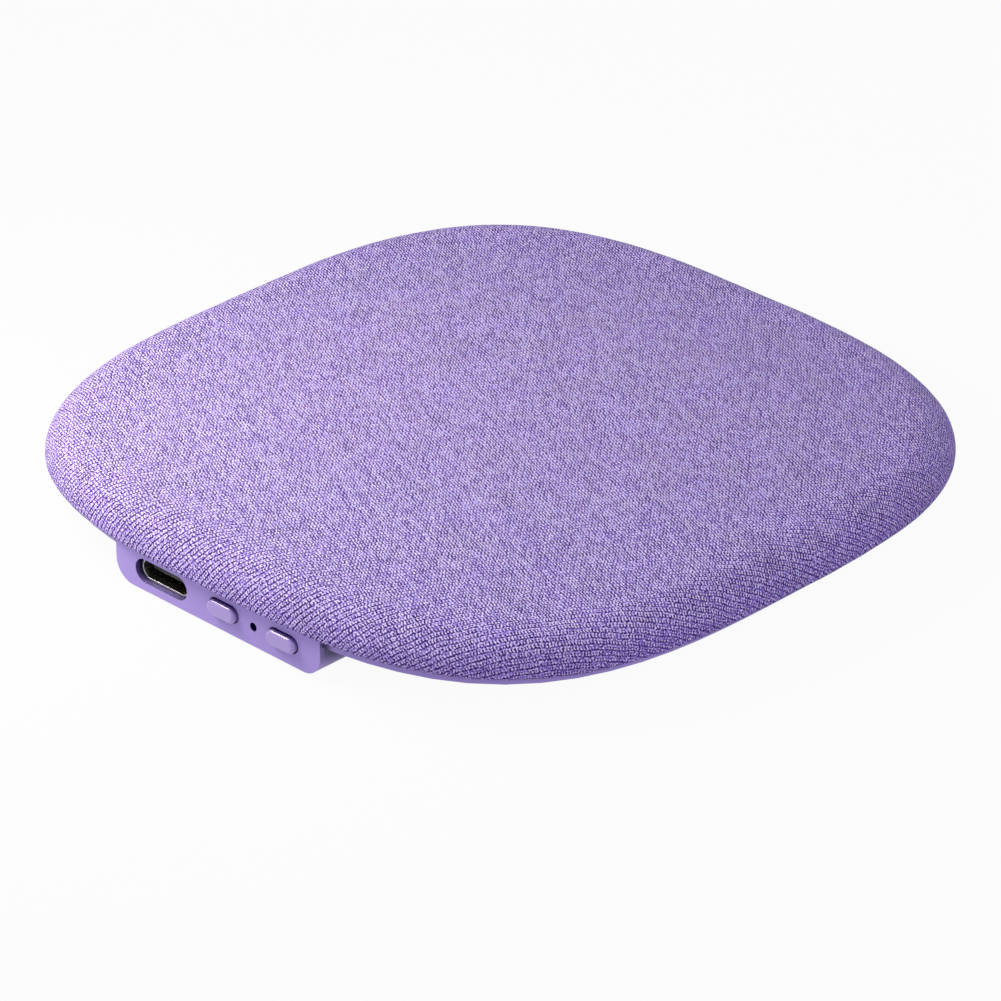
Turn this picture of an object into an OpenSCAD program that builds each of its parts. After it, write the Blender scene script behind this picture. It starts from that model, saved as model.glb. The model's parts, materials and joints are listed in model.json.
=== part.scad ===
// Pillow speaker: a thin, rounded-square pad under knit cloth, with a control housing on its front
// edge. Millimetres. The origin is at the middle of the surface that it stands on, +Z points up,
// and the control housing is on the -Y side.

/* [Pad] */
// Width and depth of the pad over the cloth
side_len = 105; // [102:1:125]
// Exponent of the rounded-square outline, 2 is a circle
outline_power = 3.15; // [3:0.05:3.6]
// Rise of the cover from its widest line to its top edge
cover_rise = 5; // [4.8:0.1:8]
// Run of the rounded shoulder, seen from above
cover_run = 5.6; // [5:0.1:8]
// Extra height of the pad at its middle
crown = 0.35; // [0.1:0.05:1]
// How far the cover turns in under its widest line
turn_in = 1.45; // [1:0.05:1.8]
// Height of that turn
turn_drop = 0.9; // [0.6:0.05:1.2]

/* [Layers] */
// Thickness of the knit cloth
cloth_t = 0.6; // [0.4:0.05:0.8]
// Thickness of the foam under the cloth
foam_t = 1.4; // [1:0.1:1.6]
// Slack between two layers
layer_gap = 0.1; // [0.05:0.01:0.2]
// Thickness of the top shell over its flat inside
shell_t = 1.3; // [1:0.1:1.6]
// Thickness of the top shell's side wall at its foot
shell_side = 1.5; // [1.2:0.1:2]

/* [Base shell] */
// Height of the rim that shows below the cloth
rim_h = 1.1; // [0.9:0.05:1.6]
// Width of the bay that hangs below the rim
bay_side = 80; // [78:1:84]
// Depth of the bay and of the control housing below the rim
bay_depth = 4.35; // [4.2:0.05:6]
// Thickness of the floor
floor_t = 1.1; // [0.9:0.1:1.3]
// Thickness of the bay's walls and of the control housing's walls
wall_t = 1.2; // [1:0.1:1.4]
// Length of the control housing along the edge
pod_len = 37.4; // [37:0.2:42]
// Radius of the control housing's lower corners
pod_corner = 3; // [2:0.1:3.4]
// Height of the lip that centres the top shell
lip_h = 1.3; // [0.8:0.1:1.5]
// Thickness of that lip
lip_t = 1.2; // [0.8:0.1:1.6]
// Gap between the lip and the top shell
lip_gap = 0.15; // [0.1:0.05:0.3]
// Number of stiffening ribs round the bay
rib_count = 24; // [12:4:32]
// Thickness of a rib
rib_t = 0.8; // [0.6:0.1:1.2]
// Height of a rib
rib_h = 0.8; // [0.5:0.1:1]

/* [Feet and case screws] */
// Diameter of a rubber foot
foot_d = 8; // [7:0.5:9]
// Thickness of a rubber foot
foot_t = 1.1; // [1:0.05:1.2]
// How far the feet stand proud of the base
foot_proud = 0.4; // [0.3:0.05:0.6]
// Distance of the feet from the side of the bay
foot_inset = 12.5; // [12:0.5:13.5]
// Diameter of a case screw's shank
case_screw_d = 1.9; // [1.7:0.1:2]
// Diameter of a case screw's head
case_head_d = 3.8; // [3.2:0.1:4]
// Height of a case screw's head
case_head_h = 1.1; // [0.9:0.1:1.2]
// Outer diameter of the base shell's screw posts
post_d = 7; // [6.6:0.2:7.4]

/* [Board] */
// Clear height between the floor and the board
board_clear = 3.4; // [3.3:0.05:3.5]
// Thickness of the board
board_t = 1; // [0.8:0.1:1]
// Length of the board from the front to the back
board_len = 26; // [24:0.5:26.5]
// Gap between the board and the control housing's side walls
board_gap = 0.7; // [0.4:0.1:1]
// Distance between the board's two screws
board_screw_pitch = 27; // [26:0.5:28]
// Diameter of a board screw's shank
board_screw_d = 1.5; // [1.3:0.1:1.6]
// Diameter of a board screw's head
board_head_d = 3; // [2.6:0.1:3.2]

/* [USB-C socket] */
// Width of the socket's steel shell
usb_w = 8.94; // [8.9:0.02:9]
// Height of the socket's steel shell
usb_h = 3.16; // [3.1:0.02:3.2]
// Wall of the steel shell
usb_wall = 0.3; // [0.25:0.01:0.32]
// Length of the steel shell
usb_len = 7.35; // [7:0.05:8]
// How far the socket sits behind the front face
usb_setback = 0.8; // [0.5:0.05:1]
// Width of the cut-out in the front face
port_w = 9.6; // [9.4:0.1:10]
// Height of the cut-out in the front face
port_h = 3.4; // [3.3:0.05:3.5]
// Place of the socket along the edge
usb_x = -10.3; // [-10.6:0.1:-9.8]

/* [Buttons] */
// Length of a button cap
cap_len = 5.1; // [4.6:0.1:5.4]
// Height of a button cap
cap_h = 2.25; // [2:0.05:2.4]
// How far a button stands out at rest
cap_proud = 0.8; // [0.6:0.05:1.2]
// Gap round a button cap
cap_gap = 0.15; // [0.12:0.01:0.2]
// Overlap of the flange behind the wall
flange_lip = 0.45; // [0.35:0.05:0.5]
// Thickness of the flange
flange_t = 0.8; // [0.6:0.1:0.8]
// Travel of a button
button_travel = 0.3; // [0.2:0.05:0.35]
// Distance between the two buttons
button_pitch = 10.8; // [10.6:0.1:11]
// Middle of the two buttons along the edge
button_x = 6.7; // [6.6:0.05:6.8]
// Width of a switch
switch_w = 4.5; // [4:0.1:4.8]
// Depth of a switch from the front to the back
switch_len = 3.2; // [2.8:0.1:3.6]
// Height of a switch
switch_h = 2.8; // [2.6:0.1:3]

/* [Microphone] */
// Diameter of the pinhole
pinhole_d = 1.2; // [0.8:0.1:1.4]
// Diameter of the microphone
mic_d = 2.8; // [2.6:0.1:2.8]
// Length of the microphone
mic_len = 1.3; // [1:0.1:1.6]

/* [Battery] */
// Width of the cell
cell_w = 19; // [18:0.5:20]
// Length of the cell
cell_len = 39; // [36:0.5:40]
// Thickness of the cell
cell_t = 4.4; // [3.8:0.1:4.8]
// Thickness of the adhesive tape under the cell
tape_t = 0.3; // [0.2:0.05:0.4]

/* [Driver] */
// Diameter of the driver's frame
driver_d = 29; // [28:0.5:30]
// Thickness of the adhesive pad that holds the driver
pad_t = 0.4; // [0.3:0.05:0.5]
// Thickness of the frame's top disc
disc_t = 1; // [0.8:0.1:1.2]
// Height of the frame's skirt
skirt_h = 3.6; // [3.2:0.1:3.8]
// Room between the frame's disc and the spring's lower face
spring_room = 1.3; // [1.2:0.05:1.5]
// Thickness of the suspension spring
spring_t = 0.25; // [0.2:0.01:0.3]
// Travel of the magnet each way
magnet_travel = 0.4; // [0.2:0.05:0.45]
// Diameter of the yoke
yoke_d = 20; // [19:0.5:21]
// Thickness of the magnet
magnet_t = 1.3; // [1:0.1:1.4]
// Thickness of the pole plate
pole_t = 0.7; // [0.5:0.1:0.8]

/* [Hidden] */
$fn = 64;

// Points round an outline, and steps across the shoulder and the turn of the cover
outline_count = 80;
shoulder_steps = 6;
turn_steps = 4;
// Shares of the flat top's half width at which the crown has a ring
crown_shares = [0.35, 0.7];
// Small distance that makes a cut pass through a face
eps = 0.01;
// Thin slack between pieces that are pushed or glued together
fit_gap = 0.05;

half_side = side_len / 2;
half_top = half_side - cover_run;
half_rim = half_side - turn_in;
half_bay = bay_side / 2;
half_bay_in = half_bay - wall_t;

// Heights, from the surface that the feet stand on
z_base = foot_proud;
z_floor = z_base + floor_t;
z_plate = z_base + bay_depth;
z_rim = z_plate + rim_h;
z_edge = z_rim + layer_gap;
z_wide = z_edge + turn_drop;
z_hem = z_edge + cloth_t;
z_shell = z_hem + layer_gap;

// Depth of each layer's face below the outside of the cloth
foam_out = cloth_t + layer_gap;
foam_in = foam_out + foam_t;
shell_out = foam_in + layer_gap;
z_ceiling = z_wide + cover_rise - shell_out - shell_t;
half_shell_in = half_side - shell_out - shell_side;
half_hem = half_shell_in + layer_gap;
half_lip = half_shell_in - lip_gap;

// Control housing
face_y = -half_rim;
wall_y = face_y + wall_t;
pod_in_len = pod_len - 2 * wall_t;
pod_in_corner = pod_corner - wall_t;
// Where the housing's outside ends, within the bay's wall, and where its inside opens into the bay
pod_end = wall_t / 2 - outline_at(half_bay, pod_len / 2);
channel_end = wall_t - outline_at(half_bay_in, pod_in_len / 2);
// Length of the housing for which the places along it are stated, and how far those spread with it
stated_len = 37.4;
spread = pod_len / stated_len;

// Board and what hangs under it
z_board = z_floor + board_clear;
z_board_top = z_board + board_t;
board_w = pod_in_len - 2 * board_gap;
board_y = wall_y + 1.5;
board_back = board_y + board_len;
board_screw_x = board_screw_pitch / 2 * spread;
board_screw_y = board_back - 3;
ledge_w = board_gap + 0.9;
ledge_len = 8;
ledge_room = 0.5;
ledge_y = face_y + usb_setback + usb_len + ledge_room;
board_post_d = 5;
board_head_h = 0.9;
board_screw_len = 3.5;

// Socket
usb_z = z_board - fit_gap - usb_h / 2;
usb_y = face_y + usb_setback;
socket_x = usb_x * spread;
leg_w = 0.9;
leg_t = 0.3;
leg_inset = 2.6;
leg_slot_gap = 0.15;
tongue_w = 6.69;
tongue_t = 0.7;
tongue_len = 4.45;
contact_w = 0.25;
contact_t = 0.05;
contact_len = 3.4;
contact_pitch = 0.5;
contact_count = 12;

// Buttons
button_z = z_board - fit_gap - switch_h / 2;
mic_x = button_x * spread;
button_places = [mic_x - button_pitch / 2, mic_x + button_pitch / 2];
cap_bevel = 0.3;
flange_y = wall_y + fit_gap;
stem_y = flange_y + flange_t;
switch_y = stem_y + 0.9;
stem_w = 1.6;
stem_h = 1.1;
stem_gap = 0.1;
stem_grip = 0.6;
pocket_depth = stem_grip + button_travel + 0.3;

// Microphone
boot_wall = 0.2;
boot_d = mic_d + 2 * (boot_wall + fit_gap);
mic_z = z_board - fit_gap - boot_d / 2;
boot_y = wall_y + fit_gap;
boot_front = 0.8;
boot_hole_d = pinhole_d + 0.2;

// Feet, posts and case screws
foot_place = half_bay - foot_inset;
foot_places = [[-1, -1], [1, -1], [-1, 1], [1, 1]] * foot_place;
foot_chamfer = 0.25;
foot_gap = 0.2;
z_recess = foot_t + fit_gap * 2;
z_head = z_recess + fit_gap * 2;
z_seat = z_head + case_head_h;
head_gap = 0.2;
shank_gap = 0.2;
thread_gap = 0.05;
z_post = z_board;
top_post_d = 5.4;
post_gap = 0.1;
z_top_post = z_post + post_gap;
case_screw_len = z_ceiling - z_seat - 0.9;

// Battery beside the driver, level with the middle of the bay
cell_y = 2.5;
cell_half = cell_len / 2;
cell_corner_x = outline_at(half_bay_in, cell_y + cell_half);
cell_x = (driver_d / 2 + cell_corner_x) / 2;
z_cell = z_floor + tape_t;
tape_w = cell_w - 4;
tape_len = cell_len - 8;
cell_round = 1.5;
pcm_w = 15;
pcm_len = 3;
pcm_t = 1;
z_pcm = z_cell + cell_t / 2 - pcm_t / 2;
pcm_y = cell_y - cell_half - pcm_len;
fence_t = 0.6;
fence_len = 22;
fence_h = 1.4;
fence_gap = 0.2;

// Parts on top of the board, and the battery's plug at its right edge
module_w = 13;
module_len = 11;
module_t = 0.8;
module_x = -board_w / 2 + module_w / 2 + 1.2;
module_y = board_y + module_len / 2 + 4.2;
can_inset = 1;
can_antenna = 3.2;
can_h = 0.8;
can_wall = 0.2;
module_room = 1.6;
inductor_d = 4;
inductor_x = module_x + module_w / 2 + module_room + inductor_d / 2;
amp_x = inductor_x + inductor_d;
amp_size = 5;
amp_inset = 9;
amp_y = board_y + amp_inset;
charger_x = -4.5;
charger_size = 3;
charger_y = board_back - 8.5;
chip_t = 1;
inductor_h = 1.4;
plug_w = 4.4;
plug_len = 3;
plug_h = 1.4;
plug_nose = 1;
socket_len = 4;
socket_wall = 0.4;
plug_back = board_w / 2 - 0.8;
plug_inset = 9;
plug_y = board_back - plug_inset;

// Driver, from the ceiling down
z_disc = z_ceiling - pad_t;
z_disc_low = z_disc - disc_t;
z_skirt = z_disc_low - skirt_h;
z_spring = z_disc_low - spring_room;
driver_r = driver_d / 2;
skirt_t = 1.1;
ledge_in_r = driver_r - skirt_t - 1;
yoke_r = yoke_d / 2;
yoke_wall = 1.5;
yoke_base = 1;
magnet_r = yoke_r - yoke_wall - 2.5;
pole_r = magnet_r + 0.2;
coil_in_r = pole_r + 0.4;
coil_t = 0.7;
coil_len = spring_room + pole_t + magnet_t - magnet_travel - 0.5;
spring_rim_t = 0.8;
spring_ring_t = 1.2;
arm_t = 0.5;
arm_count = 3;
arm_turn = 80;
arm_tie = 0.3;
arm_tie_w = 1;
ring_t = 1;
ring_h = 0.9;
ring_gap = 0.3;
tab_w = 7;
tab_len = 1.6;
tab_h = 1.2;
top_rib_h = 0.6;
root = 0.4;

// Routes of the leads' middles, between the pieces that they join
lead_d = 0.8;
lead_sides = 8;
lead_steps = 4;
battery_red_route = [[16.1, -30.6, 6.8], [18.4, -30.6, 6.7], [20.6, -28.6, 6], [21.2, -24.6, 4.8],
    [21, -20.1, 4.1]];
battery_black_route = [[16.1, -32.1, 6.8], [19, -32.1, 6.7], [22.2, -29.4, 6], [22.8, -24.6, 4.8],
    [22.6, -20.1, 4.1]];
driver_red_route = [[1.5, -16.2, 6.4], [1.5, -18.6, 6.8], [1.6, -21, 6.8], [1.8, -23.4, 6.5],
    [1.8, -26, 6.4]];
driver_black_route = [[-1.5, -16.2, 6.4], [-1.5, -18.6, 6.8], [-1.4, -21, 6.8], [-1.2, -23.4, 6.5],
    [-1.2, -26, 6.4]];

// Distance from the middle to the rounded-square outline of a given half width, at an angle
function outline_radius(half, angle) =
    half / pow(pow(abs(cos(angle)), outline_power) + pow(abs(sin(angle)), outline_power),
        1 / outline_power);

// Where the outline of a given half width crosses a line parallel to the X axis
function outline_at(half, y) =
    half * pow(1 - pow(abs(y) / half, outline_power), 1 / outline_power);

// Corner points of the outline, counter-clockwise, their angles shifted by a share of a step
function outline_points(half, shift = 0) =
    [for (i = [0 : outline_count - 1])
        let (a = 360 * (i + shift) / outline_count, r = outline_radius(half, a))
        [r * cos(a), r * sin(a)]];

// Rings [half width, height] of the crown at a depth below the cloth's outside
function crown_rings(depth) =
    [for (s = crown_shares)
        [half_top * s, z_wide + cover_rise - depth + crown * (1 - s * s)]];

// Rings of the shoulder at a depth, from its top edge down to a given height
function shoulder_rings(depth, low_z) =
    let (low = asin((low_z - z_wide) / (cover_rise - depth)))
    [for (k = [0 : shoulder_steps])
        let (a = 90 - (90 - low) * k / shoulder_steps)
        [half_top + (cover_run - depth) * cos(a), z_wide + (cover_rise - depth) * sin(a)]];

// Rings of the cover's turn below its widest line
function turn_rings() =
    [for (k = [1 : turn_steps])
        let (a = 90 * k / turn_steps)
        [half_side - turn_in * (1 - cos(a)), z_wide - turn_drop * sin(a)]];

// A whole face at a depth: its middle, crown and shoulder
function face_rings(depth, low_z) =
    concat([[0, z_wide + cover_rise - depth + crown]], crown_rings(depth),
        shoulder_rings(depth, low_z));

function reversed(list) = [for (i = [len(list) - 1 : -1 : 0]) list[i]];

// Closed solid through rings of the rounded-square outline. The first and last entries are points
// on the axis, and the path runs down the outside and back up the inside.
module outline_loft(rings) {
    inner = [for (i = [1 : len(rings) - 2]) rings[i]];
    count = outline_count;
    last = len(inner) - 1;
    points = concat([[0, 0, rings[0][1]]],
        [for (ring = inner) for (p = outline_points(ring[0])) [p[0], p[1], ring[1]]],
        [[0, 0, rings[len(rings) - 1][1]]]);
    end = len(points) - 1;
    first_fan = [for (i = [0 : count - 1]) [0, 1 + (i + 1) % count, 1 + i]];
    walls = [for (j = [0 : last - 1]) for (i = [0 : count - 1])
        let (a = 1 + j * count + i, b = 1 + j * count + (i + 1) % count)
        for (face = [[a, b, b + count], [a, b + count, a + count]]) face];
    last_fan = [for (i = [0 : count - 1])
        [1 + last * count + i, 1 + last * count + (i + 1) % count, end]];
    polyhedron(points, concat(first_fan, walls, last_fan), convexity = 6);
}

// Upright slab with the rounded-square outline
module outline_slab(half, low, high, shift = 0) {
    translate([0, 0, low]) linear_extrude(high - low) polygon(outline_points(half, shift));
}

// Round-ended slot shape, its length along X
module slot_shape(length, height) {
    r = height / 2;
    square([length - height, height], center = true);
    translate([r - length / 2, 0]) circle(r);
    translate([length / 2 - r, 0]) circle(r);
}

// Slot shape that lies in a wall facing -Y, run back from a given depth
module slot_bar(x, y, z, length, height, depth) {
    translate([x, y + depth, z]) rotate([90, 0, 0]) linear_extrude(depth) slot_shape(length, height);
}

// Block by its middle along X and its lowest corner in Y and Z
module block(x, y, z, size) {
    translate([x - size[0] / 2, y, z]) cube(size);
}

// Upright round bar between two heights
module post(place, low, high, d) {
    translate([place[0], place[1], low]) cylinder(h = high - low, d = d);
}

// Front view of the control housing, with round lower corners
module pod_shape(length, height, corner) {
    translate([-length / 2, corner]) square([length, height - corner]);
    translate([corner - length / 2, 0]) square([length - 2 * corner, height]);
    translate([corner - length / 2, corner]) circle(corner);
    translate([length / 2 - corner, corner]) circle(corner);
}

module pod_bar(y, y_end, z, height, length, corner) {
    translate([0, y_end, z]) rotate([90, 0, 0]) linear_extrude(y_end - y)
        pod_shape(length, height, corner);
}

// Knit cloth, drawn over the shoulder and turned in under the top shell
module fabric_cover() {
    outside = concat(face_rings(0, z_wide), turn_rings());
    hem = [[half_hem, z_edge], [half_hem, z_hem]];
    color("mediumpurple") outline_loft(concat(outside, hem, reversed(face_rings(cloth_t, z_hem))));
}

// Soft layer between the cloth and the top shell
module foam_pad() {
    color("whitesmoke")
        outline_loft(concat(face_rings(foam_out, z_shell), reversed(face_rings(foam_in, z_shell))));
}

// Stiffening ribs between two outlines, left out over the control housing
module radial_ribs(half_in, half_out, low, high) {
    for (i = [0 : rib_count - 1]) {
        angle = 360 * (i + 0.5) / rib_count;
        near = outline_radius(half_in, angle);
        far = outline_radius(half_out, angle);
        beside_pod = sin(angle) > 0 || abs(near * cos(angle)) > pod_len / 2 + rib_t;
        if (beside_pod)
            rotate([0, 0, angle]) translate([near, -rib_t / 2, low])
                cube([far - near + root, rib_t, high - low]);
    }
}

// Rigid shell under the foam: domed outside, flat inside, with the driver's ring, ribs and posts
module top_shell() {
    ring_r = driver_r + ring_gap;
    color("plum") difference() {
        union() {
            difference() {
                outline_loft(concat(face_rings(shell_out, z_shell), [[0, z_shell]]));
                outline_slab(half_shell_in, z_shell - 1, z_ceiling, 0.5);
            }
            radial_ribs(half_bay_in, half_shell_in, z_ceiling - top_rib_h, z_ceiling + root);
            difference() {
                post([0, 0], z_ceiling - ring_h, z_ceiling + root, 2 * (ring_r + ring_t));
                post([0, 0], z_ceiling - ring_h - 1, z_ceiling + root + 1, 2 * ring_r);
            }
            for (place = foot_places) post(place, z_top_post, z_ceiling + root, top_post_d);
        }
        for (place = foot_places)
            post(place, z_top_post - 1, z_ceiling - 0.5, case_screw_d + 2 * thread_gap);
    }
}

// Rim plate, bay, control housing, lip, ribs, posts and fences, moulded in one piece
module base_shell() {
    color("mediumpurple") difference() {
        union() {
            outline_slab(half_rim, z_plate, z_rim);
            outline_slab(half_bay, z_base, z_plate + eps);
            pod_bar(face_y, pod_end, z_base, z_rim - z_base, pod_len, pod_corner);
            difference() {
                outline_slab(half_lip, z_rim - eps, z_rim + lip_h);
                outline_slab(half_lip - lip_t, z_rim - 1, z_rim + lip_h + 1);
            }
            radial_ribs(half_bay_in, half_lip - lip_t, z_rim - eps, z_rim + rib_h);
        }
        difference() {
            union() {
                outline_slab(half_bay_in, z_floor, z_rim + 1);
                pod_bar(wall_y, channel_end, z_floor, z_rim + lip_h + 1 - z_floor, pod_in_len,
                    pod_in_corner);
            }
            base_inside();
        }
        slot_bar(socket_x, face_y - 1, usb_z, port_w, port_h, wall_t + 2);
        for (x = button_places)
            slot_bar(x, face_y - 1, button_z, cap_len + 2 * cap_gap, cap_h + 2 * cap_gap, wall_t + 2);
        translate([mic_x, wall_y + 1, mic_z]) rotate([90, 0, 0])
            cylinder(h = wall_t + 2, d = pinhole_d);
        for (place = foot_places) {
            post(place, z_base - 1, z_recess, foot_d + 2 * foot_gap);
            post(place, z_base, z_seat, case_head_d + 2 * head_gap);
            post(place, z_base, z_post + 1, case_screw_d + 2 * shank_gap);
        }
        for (side = [-1, 1])
            post([side * board_screw_x, board_screw_y], z_floor + 0.3, z_board + 1,
                board_screw_d + 2 * thread_gap);
    }
}

// What stands up inside the bay and the control housing
module base_inside() {
    for (place = foot_places) post(place, z_floor - 1, z_post, post_d);
    for (side = [-1, 1]) {
        post([side * board_screw_x, board_screw_y], z_floor - 1, z_board, board_post_d);
        block(side * (pod_in_len / 2 - ledge_w / 2 + eps), ledge_y, z_floor - 1,
            [ledge_w + 2 * eps, ledge_len, z_board - z_floor + 1]);
        block(cell_x + side * (cell_w / 2 + fence_gap + fence_t / 2), cell_y - fence_len / 2,
            z_floor - 1, [fence_t, fence_len, fence_h + 1]);
    }
}

// Round rubber foot with a chamfered lower edge
module foot(place) {
    r = foot_d / 2;
    color("dimgray") translate([place[0], place[1], 0]) rotate_extrude()
        polygon([[0, 0], [r - foot_chamfer, 0], [r, foot_chamfer], [r, foot_t], [0, foot_t]]);
}

module foot_front_left() { foot(foot_places[0]); }
module foot_front_right() { foot(foot_places[1]); }
module foot_rear_left() { foot(foot_places[2]); }
module foot_rear_right() { foot(foot_places[3]); }

// Pan-head screw with a cross recess, its head's seat at the origin and its shank along +Z
module screw(head_d, head_h, shank_d, shank_len) {
    recess_w = head_d / 6;
    recess_len = head_d * 0.6;
    difference() {
        union() {
            translate([0, 0, -head_h]) cylinder(h = head_h, d = head_d);
            cylinder(h = shank_len, d = shank_d);
        }
        for (turn = [0, 90]) rotate([0, 0, turn])
            translate([-recess_len / 2, -recess_w / 2, -head_h - 1])
                cube([recess_len, recess_w, 1 + head_h / 2]);
    }
}

module case_screws() {
    color("silver") for (place = foot_places) translate([place[0], place[1], z_seat])
        screw(case_head_d, case_head_h, case_screw_d, case_screw_len);
}

// Legs of the socket's shell, or the slots that they pass through
module usb_legs(gap, low, high) {
    for (side = [-1, 1]) for (y = [leg_inset, usb_len - leg_inset])
        block(socket_x + side * (usb_w / 2 - usb_h / 2), usb_y + y - leg_w / 2 - gap, low,
            [leg_t + 2 * gap, leg_w + 2 * gap, high - low]);
}

module main_board() {
    color("darkgreen") difference() {
        block(0, board_y, z_board, [board_w, board_len, board_t]);
        for (side = [-1, 1])
            post([side * board_screw_x, board_screw_y], z_board - 1, z_board_top + 1,
                board_screw_d + 0.3);
        usb_legs(leg_slot_gap, z_board - 1, z_board_top + 1);
    }
}

module board_screws() {
    color("silver") for (side = [-1, 1])
        translate([side * board_screw_x, board_screw_y, z_board_top]) mirror([0, 0, 1])
            screw(board_head_d, board_head_h, board_screw_d, board_screw_len);
}

// Drawn steel shell of the socket, open at the front, with four legs through the board
module usb_shell() {
    color("silver") {
        difference() {
            slot_bar(socket_x, usb_y, usb_z, usb_w, usb_h, usb_len);
            slot_bar(socket_x, usb_y - 1, usb_z, usb_w - 2 * usb_wall, usb_h - 2 * usb_wall,
                usb_len + 2);
        }
        usb_legs(0, usb_z + usb_h / 2 - usb_wall / 2, z_board_top + 0.3);
    }
}

// Black insulator: a plug that fills the shell's back, and the tongue
module usb_insulator() {
    base_len = usb_len - tongue_len - 1;
    base_y = usb_y + usb_len - base_len;
    color("black") {
        slot_bar(socket_x, base_y, usb_z, usb_w - 2 * usb_wall - 2 * contact_t,
            usb_h - 2 * usb_wall - 2 * contact_t, base_len);
        block(socket_x, base_y - tongue_len, usb_z - tongue_t / 2,
            [tongue_w, tongue_len + eps, tongue_t]);
    }
}

// Contact strips on both faces of the tongue
module usb_contacts() {
    base_y = usb_y + tongue_len + 1;
    color("gold") for (i = [0 : contact_count - 1]) for (side = [-1, 1])
        block(socket_x + (i - (contact_count - 1) / 2) * contact_pitch, base_y - contact_len,
            usb_z + side * (tongue_t / 2 + contact_t / 2) - contact_t / 2,
            [contact_w, contact_len, contact_t]);
}

// Round end of a cap, its bevelled front at the origin and its length along +Z
module cap_end(r, depth) {
    rotate_extrude()
        polygon([[0, 0], [r - cap_bevel, 0], [r, cap_bevel], [r, depth], [0, depth]]);
}

// Cap with a bevelled front, two round ends with a straight stretch between them, and a flange
// behind the wall
module button_cap(x) {
    r = cap_h / 2;
    front = face_y - cap_proud;
    depth = flange_y + flange_t / 2 - front;
    straight = cap_len - cap_h;
    color("mediumpurple") {
        slot_bar(x, flange_y, button_z, cap_len + 2 * (cap_gap + flange_lip),
            cap_h + 2 * (cap_gap + flange_lip), flange_t);
        for (side = [-1, 1])
            translate([x + side * straight / 2, front, button_z]) rotate([-90, 0, 0])
                cap_end(r, depth);
        translate([x - straight / 2, front, button_z]) rotate([90, 0, 90]) linear_extrude(straight)
            polygon([[0, cap_bevel - r], [0, r - cap_bevel], [cap_bevel, r], [depth, r], [depth, -r],
                [cap_bevel, -r]]);
    }
}

module left_button_cap() { button_cap(button_places[0]); }
module right_button_cap() { button_cap(button_places[1]); }

module switch_stem(x) {
    color("ivory") block(x, stem_y, button_z - stem_h / 2,
        [stem_w, switch_y - stem_y + stem_grip, stem_h]);
}

module left_switch_stem() { switch_stem(button_places[0]); }
module right_switch_stem() { switch_stem(button_places[1]); }

// Side-push switch under the board, with the pocket that its stem moves in
module push_switch(x) {
    color("gray") difference() {
        block(x, switch_y, button_z - switch_h / 2, [switch_w, switch_len, switch_h]);
        block(x, switch_y - 1, button_z - stem_h / 2 - stem_gap,
            [stem_w + 2 * stem_gap, pocket_depth + 1, stem_h + 2 * stem_gap]);
    }
}

module left_switch() { push_switch(button_places[0]); }
module right_switch() { push_switch(button_places[1]); }

module mic_bar(y, length, d) {
    translate([mic_x, y + length, mic_z]) rotate([90, 0, 0]) cylinder(h = length, d = d);
}

// Capsule behind the pinhole
module microphone() {
    color("silver") mic_bar(boot_y + boot_front, mic_len, mic_d);
}

// Rubber sleeve that seals the capsule to the pinhole
module microphone_boot() {
    color("dimgray") difference() {
        mic_bar(boot_y, boot_front + mic_len, boot_d);
        mic_bar(boot_y + boot_front, mic_len + 1, mic_d + 2 * fit_gap);
        mic_bar(boot_y - 1, boot_front + 2, boot_hole_d);
    }
}

// Small daughter board that carries the radio, with its antenna end to the left
module radio_module() {
    color("darkgreen") block(module_x, module_y - module_len / 2, z_board_top,
        [module_w, module_len, module_t]);
}

// Folded steel can over the radio, open below
module shield_can() {
    w = module_w - can_antenna - can_inset;
    d = module_len - 2 * can_inset;
    x = module_x + can_antenna / 2 - can_inset / 2;
    z = z_board_top + module_t;
    color("silver") difference() {
        block(x, module_y - d / 2, z, [w, d, can_h]);
        block(x, module_y - d / 2 + can_wall, z - 1,
            [w - 2 * can_wall, d - 2 * can_wall, can_h - can_wall + 1]);
    }
}

module chip(x, y, size) {
    color("dimgray") block(x, y - size / 2, z_board_top, [size, size, chip_t]);
}

module amplifier_chip() { chip(amp_x, amp_y, amp_size); }
module charger_chip() { chip(charger_x, charger_y, charger_size); }

module power_inductor() {
    color("slategray") post([inductor_x, amp_y + amp_size / 2 + inductor_d / 2 + 1], z_board_top,
        z_board_top + inductor_h, inductor_d);
}

// Shrouded header at the board's right edge, its mouth to the right
module battery_socket() {
    mouth = plug_back - plug_len + plug_nose;
    w = plug_w + 2 * socket_wall;
    color("ivory") difference() {
        block(mouth - socket_len / 2, plug_y - w / 2, z_board_top, [socket_len, w, plug_h]);
        block(mouth, plug_y - plug_w / 2 - fit_gap, z_board_top + socket_wall,
            [2 * (plug_nose + fit_gap), plug_w + 2 * fit_gap, plug_h]);
    }
}

module battery_plug() {
    color("white") block(plug_back - plug_len / 2, plug_y - plug_w / 2,
        z_board_top + socket_wall + fit_gap, [plug_len, plug_w, plug_h - socket_wall - fit_gap]);
}

// Pouch cell with rounded long edges
module battery_cell() {
    color("silver") translate([cell_x, cell_y + cell_half, z_cell + cell_t / 2]) rotate([90, 0, 0])
        linear_extrude(cell_len) {
            square([cell_w - 2 * cell_round, cell_t], center = true);
            square([cell_w, cell_t - 2 * cell_round], center = true);
            for (sx = [-1, 1]) for (sz = [-1, 1])
                translate([sx * (cell_w / 2 - cell_round), sz * (cell_t / 2 - cell_round)])
                    circle(cell_round);
        }
}

// Protection board across the cell's front end
module battery_board() {
    color("seagreen") block(cell_x, pcm_y, z_pcm, [pcm_w, pcm_len, pcm_t]);
}

module battery_tape() {
    color("khaki") block(cell_x, cell_y - tape_len / 2, z_floor, [tape_w, tape_len, tape_t]);
}

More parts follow.
